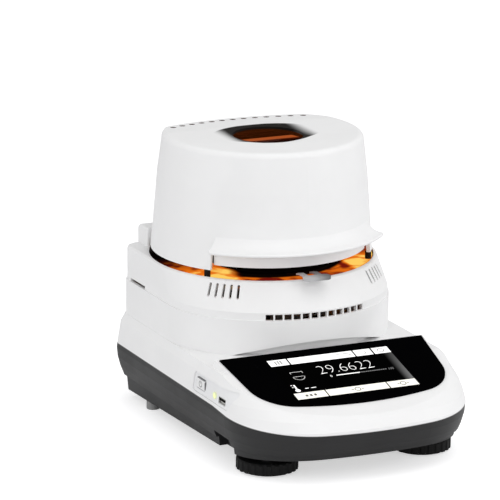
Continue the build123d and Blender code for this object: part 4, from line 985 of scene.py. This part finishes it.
# %% Power mark
MARK_RADIUS = 2.5 * MM
MARK_WIDTH = 0.6 * MM
MARK_GAP = 50.0
MARK_STEPS = 36
STROKE_LENGTH = 2.4 * MM
STROKE_RISE = 1.5 * MM
INK = 0.03 * MM
button_low, button_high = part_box("power_button")
button_middle = middle_of(button_low, button_high)
button_middle.x = button_low[0] - INK / 2
mark = bmesh.new()
near = mark.verts.new(button_middle + Vector((0, 0, MARK_RADIUS - MARK_WIDTH / 2)))
far = mark.verts.new(button_middle + Vector((0, 0, MARK_RADIUS + MARK_WIDTH / 2)))
line = mark.edges.new((near, far))
gap_turn = Matrix.Rotation(math.radians(MARK_GAP / 2), 3, "X")
bmesh.ops.rotate(mark, cent=button_middle, matrix=gap_turn, verts=[near, far])
bmesh.ops.spin(
    mark,
    geom=[near, far, line],
    cent=button_middle,
    axis=(1, 0, 0),
    angle=math.radians(360 - MARK_GAP),
    steps=MARK_STEPS,
)
stroke = bmesh.ops.create_cube(mark, size=1.0)["verts"]
bmesh.ops.scale(mark, vec=(INK, MARK_WIDTH, STROKE_LENGTH), verts=stroke)
bmesh.ops.translate(mark, vec=button_middle + Vector((0, 0, STROKE_RISE)), verts=stroke)
piece("power_mark", mark, ink_grey, "power_button")

# %% [markdown]
# ## Studio
# The instrument stands on a plain pale sheet in even, soft light. The sheet is white for the
# camera and for reflections by its own emission, so no extra light falls on the object and its own
# shadow stays.

# %% Floor
FLOOR_SIZE = 8.0
FLOOR_DROP = 0.2 * MM
FLOOR_LIFT = 0.56
MIRRORED_SHARE = 0.3
floor_form = bmesh.new()
bmesh.ops.create_grid(floor_form, x_segments=1, y_segments=1, size=FLOOR_SIZE / 2)
bmesh.ops.translate(floor_form, vec=(0, 0, -FLOOR_DROP), verts=floor_form.verts)
floor_mesh = bpy.data.meshes.new("floor")
floor_form.to_mesh(floor_mesh)
floor_form.free()
floor = bpy.data.objects.new("floor", floor_mesh)
scene.collection.objects.link(floor)
sheet = Paint("paper_sheet")
path = sheet.tree.nodes.new("ShaderNodeLightPath")
mirrored = Value(sheet, path.outputs["Is Glossy Ray"]) * MIRRORED_SHARE
seen = Value(sheet, path.outputs["Is Camera Ray"]) + mirrored
seen = seen + Value(sheet, path.outputs["Is Transmission Ray"])
sheet.set(
    Base_Color=(0.80, 0.80, 0.81),
    Roughness=0.9,
    Emission_Color=(1.0, 1.0, 1.0),
    Emission_Strength=seen * FLOOR_LIFT,
    Specular_IOR_Level=0.0,
)
floor.data.materials.append(sheet.material)
print("floor", FLOOR_SIZE, "m square")

# %% [markdown]
# The camera sees a plain white background, while the object is lit by a weaker even sky. A Mix
# Shader between two Background nodes does that, with the kind of ray as its factor.

# %% Background and sky
AMBIENT = 0.62
BACKDROP = 1.0
WHITE_LIGHT = (1.0, 1.0, 1.0, 1.0)
scene.view_settings.view_transform = "Standard"
world = bpy.data.worlds.new("studio")
scene.world = world
world.use_nodes = True
sky = world.node_tree
sky.nodes.clear()
air = sky.nodes.new("ShaderNodeBackground")
backdrop = sky.nodes.new("ShaderNodeBackground")
for background, strength in ((air, AMBIENT), (backdrop, BACKDROP)):
    background.inputs["Color"].default_value = WHITE_LIGHT
    background.inputs["Strength"].default_value = strength
blend = sky.nodes.new("ShaderNodeMixShader")
ray = sky.nodes.new("ShaderNodeLightPath")
world_output = sky.nodes.new("ShaderNodeOutputWorld")
sky.links.new(ray.outputs["Is Camera Ray"], blend.inputs[0])
sky.links.new(air.outputs[0], blend.inputs[1])
sky.links.new(backdrop.outputs[0], blend.inputs[2])
sky.links.new(blend.outputs[0], world_output.inputs["Surface"])
print("sky", AMBIENT)

# %% [markdown]
# Three large round lamps give the soft shadows and the slight difference between the faces. Each
# is an area light, turned towards the middle of the instrument.

# %% Lamps
LAMP_AIM = Vector((0, 0.03, 0.1))
# name, place, size in metres, power in watts
LAMPS = [
    ("overhead", (0.1, -0.3, 1.6), 1.6, 7.0),
    ("front_right", (1.1, -1.3, 0.7), 1.2, 9.0),
    ("front_left", (-1.5, -0.4, 0.45), 1.4, 7.0),
]
for name, where, size, power in LAMPS:
    data = bpy.data.lights.new(name, "AREA")
    data.shape = "DISK"
    data.size = size
    data.energy = power
    soft = bpy.data.objects.new(name, data)
    scene.collection.objects.link(soft)
    soft.location = where
    soft.rotation_mode = "QUATERNION"
    soft.rotation_quaternion = (LAMP_AIM - Vector(where)).to_track_quat("-Z", "Y")
print("lamps", len(LAMPS))
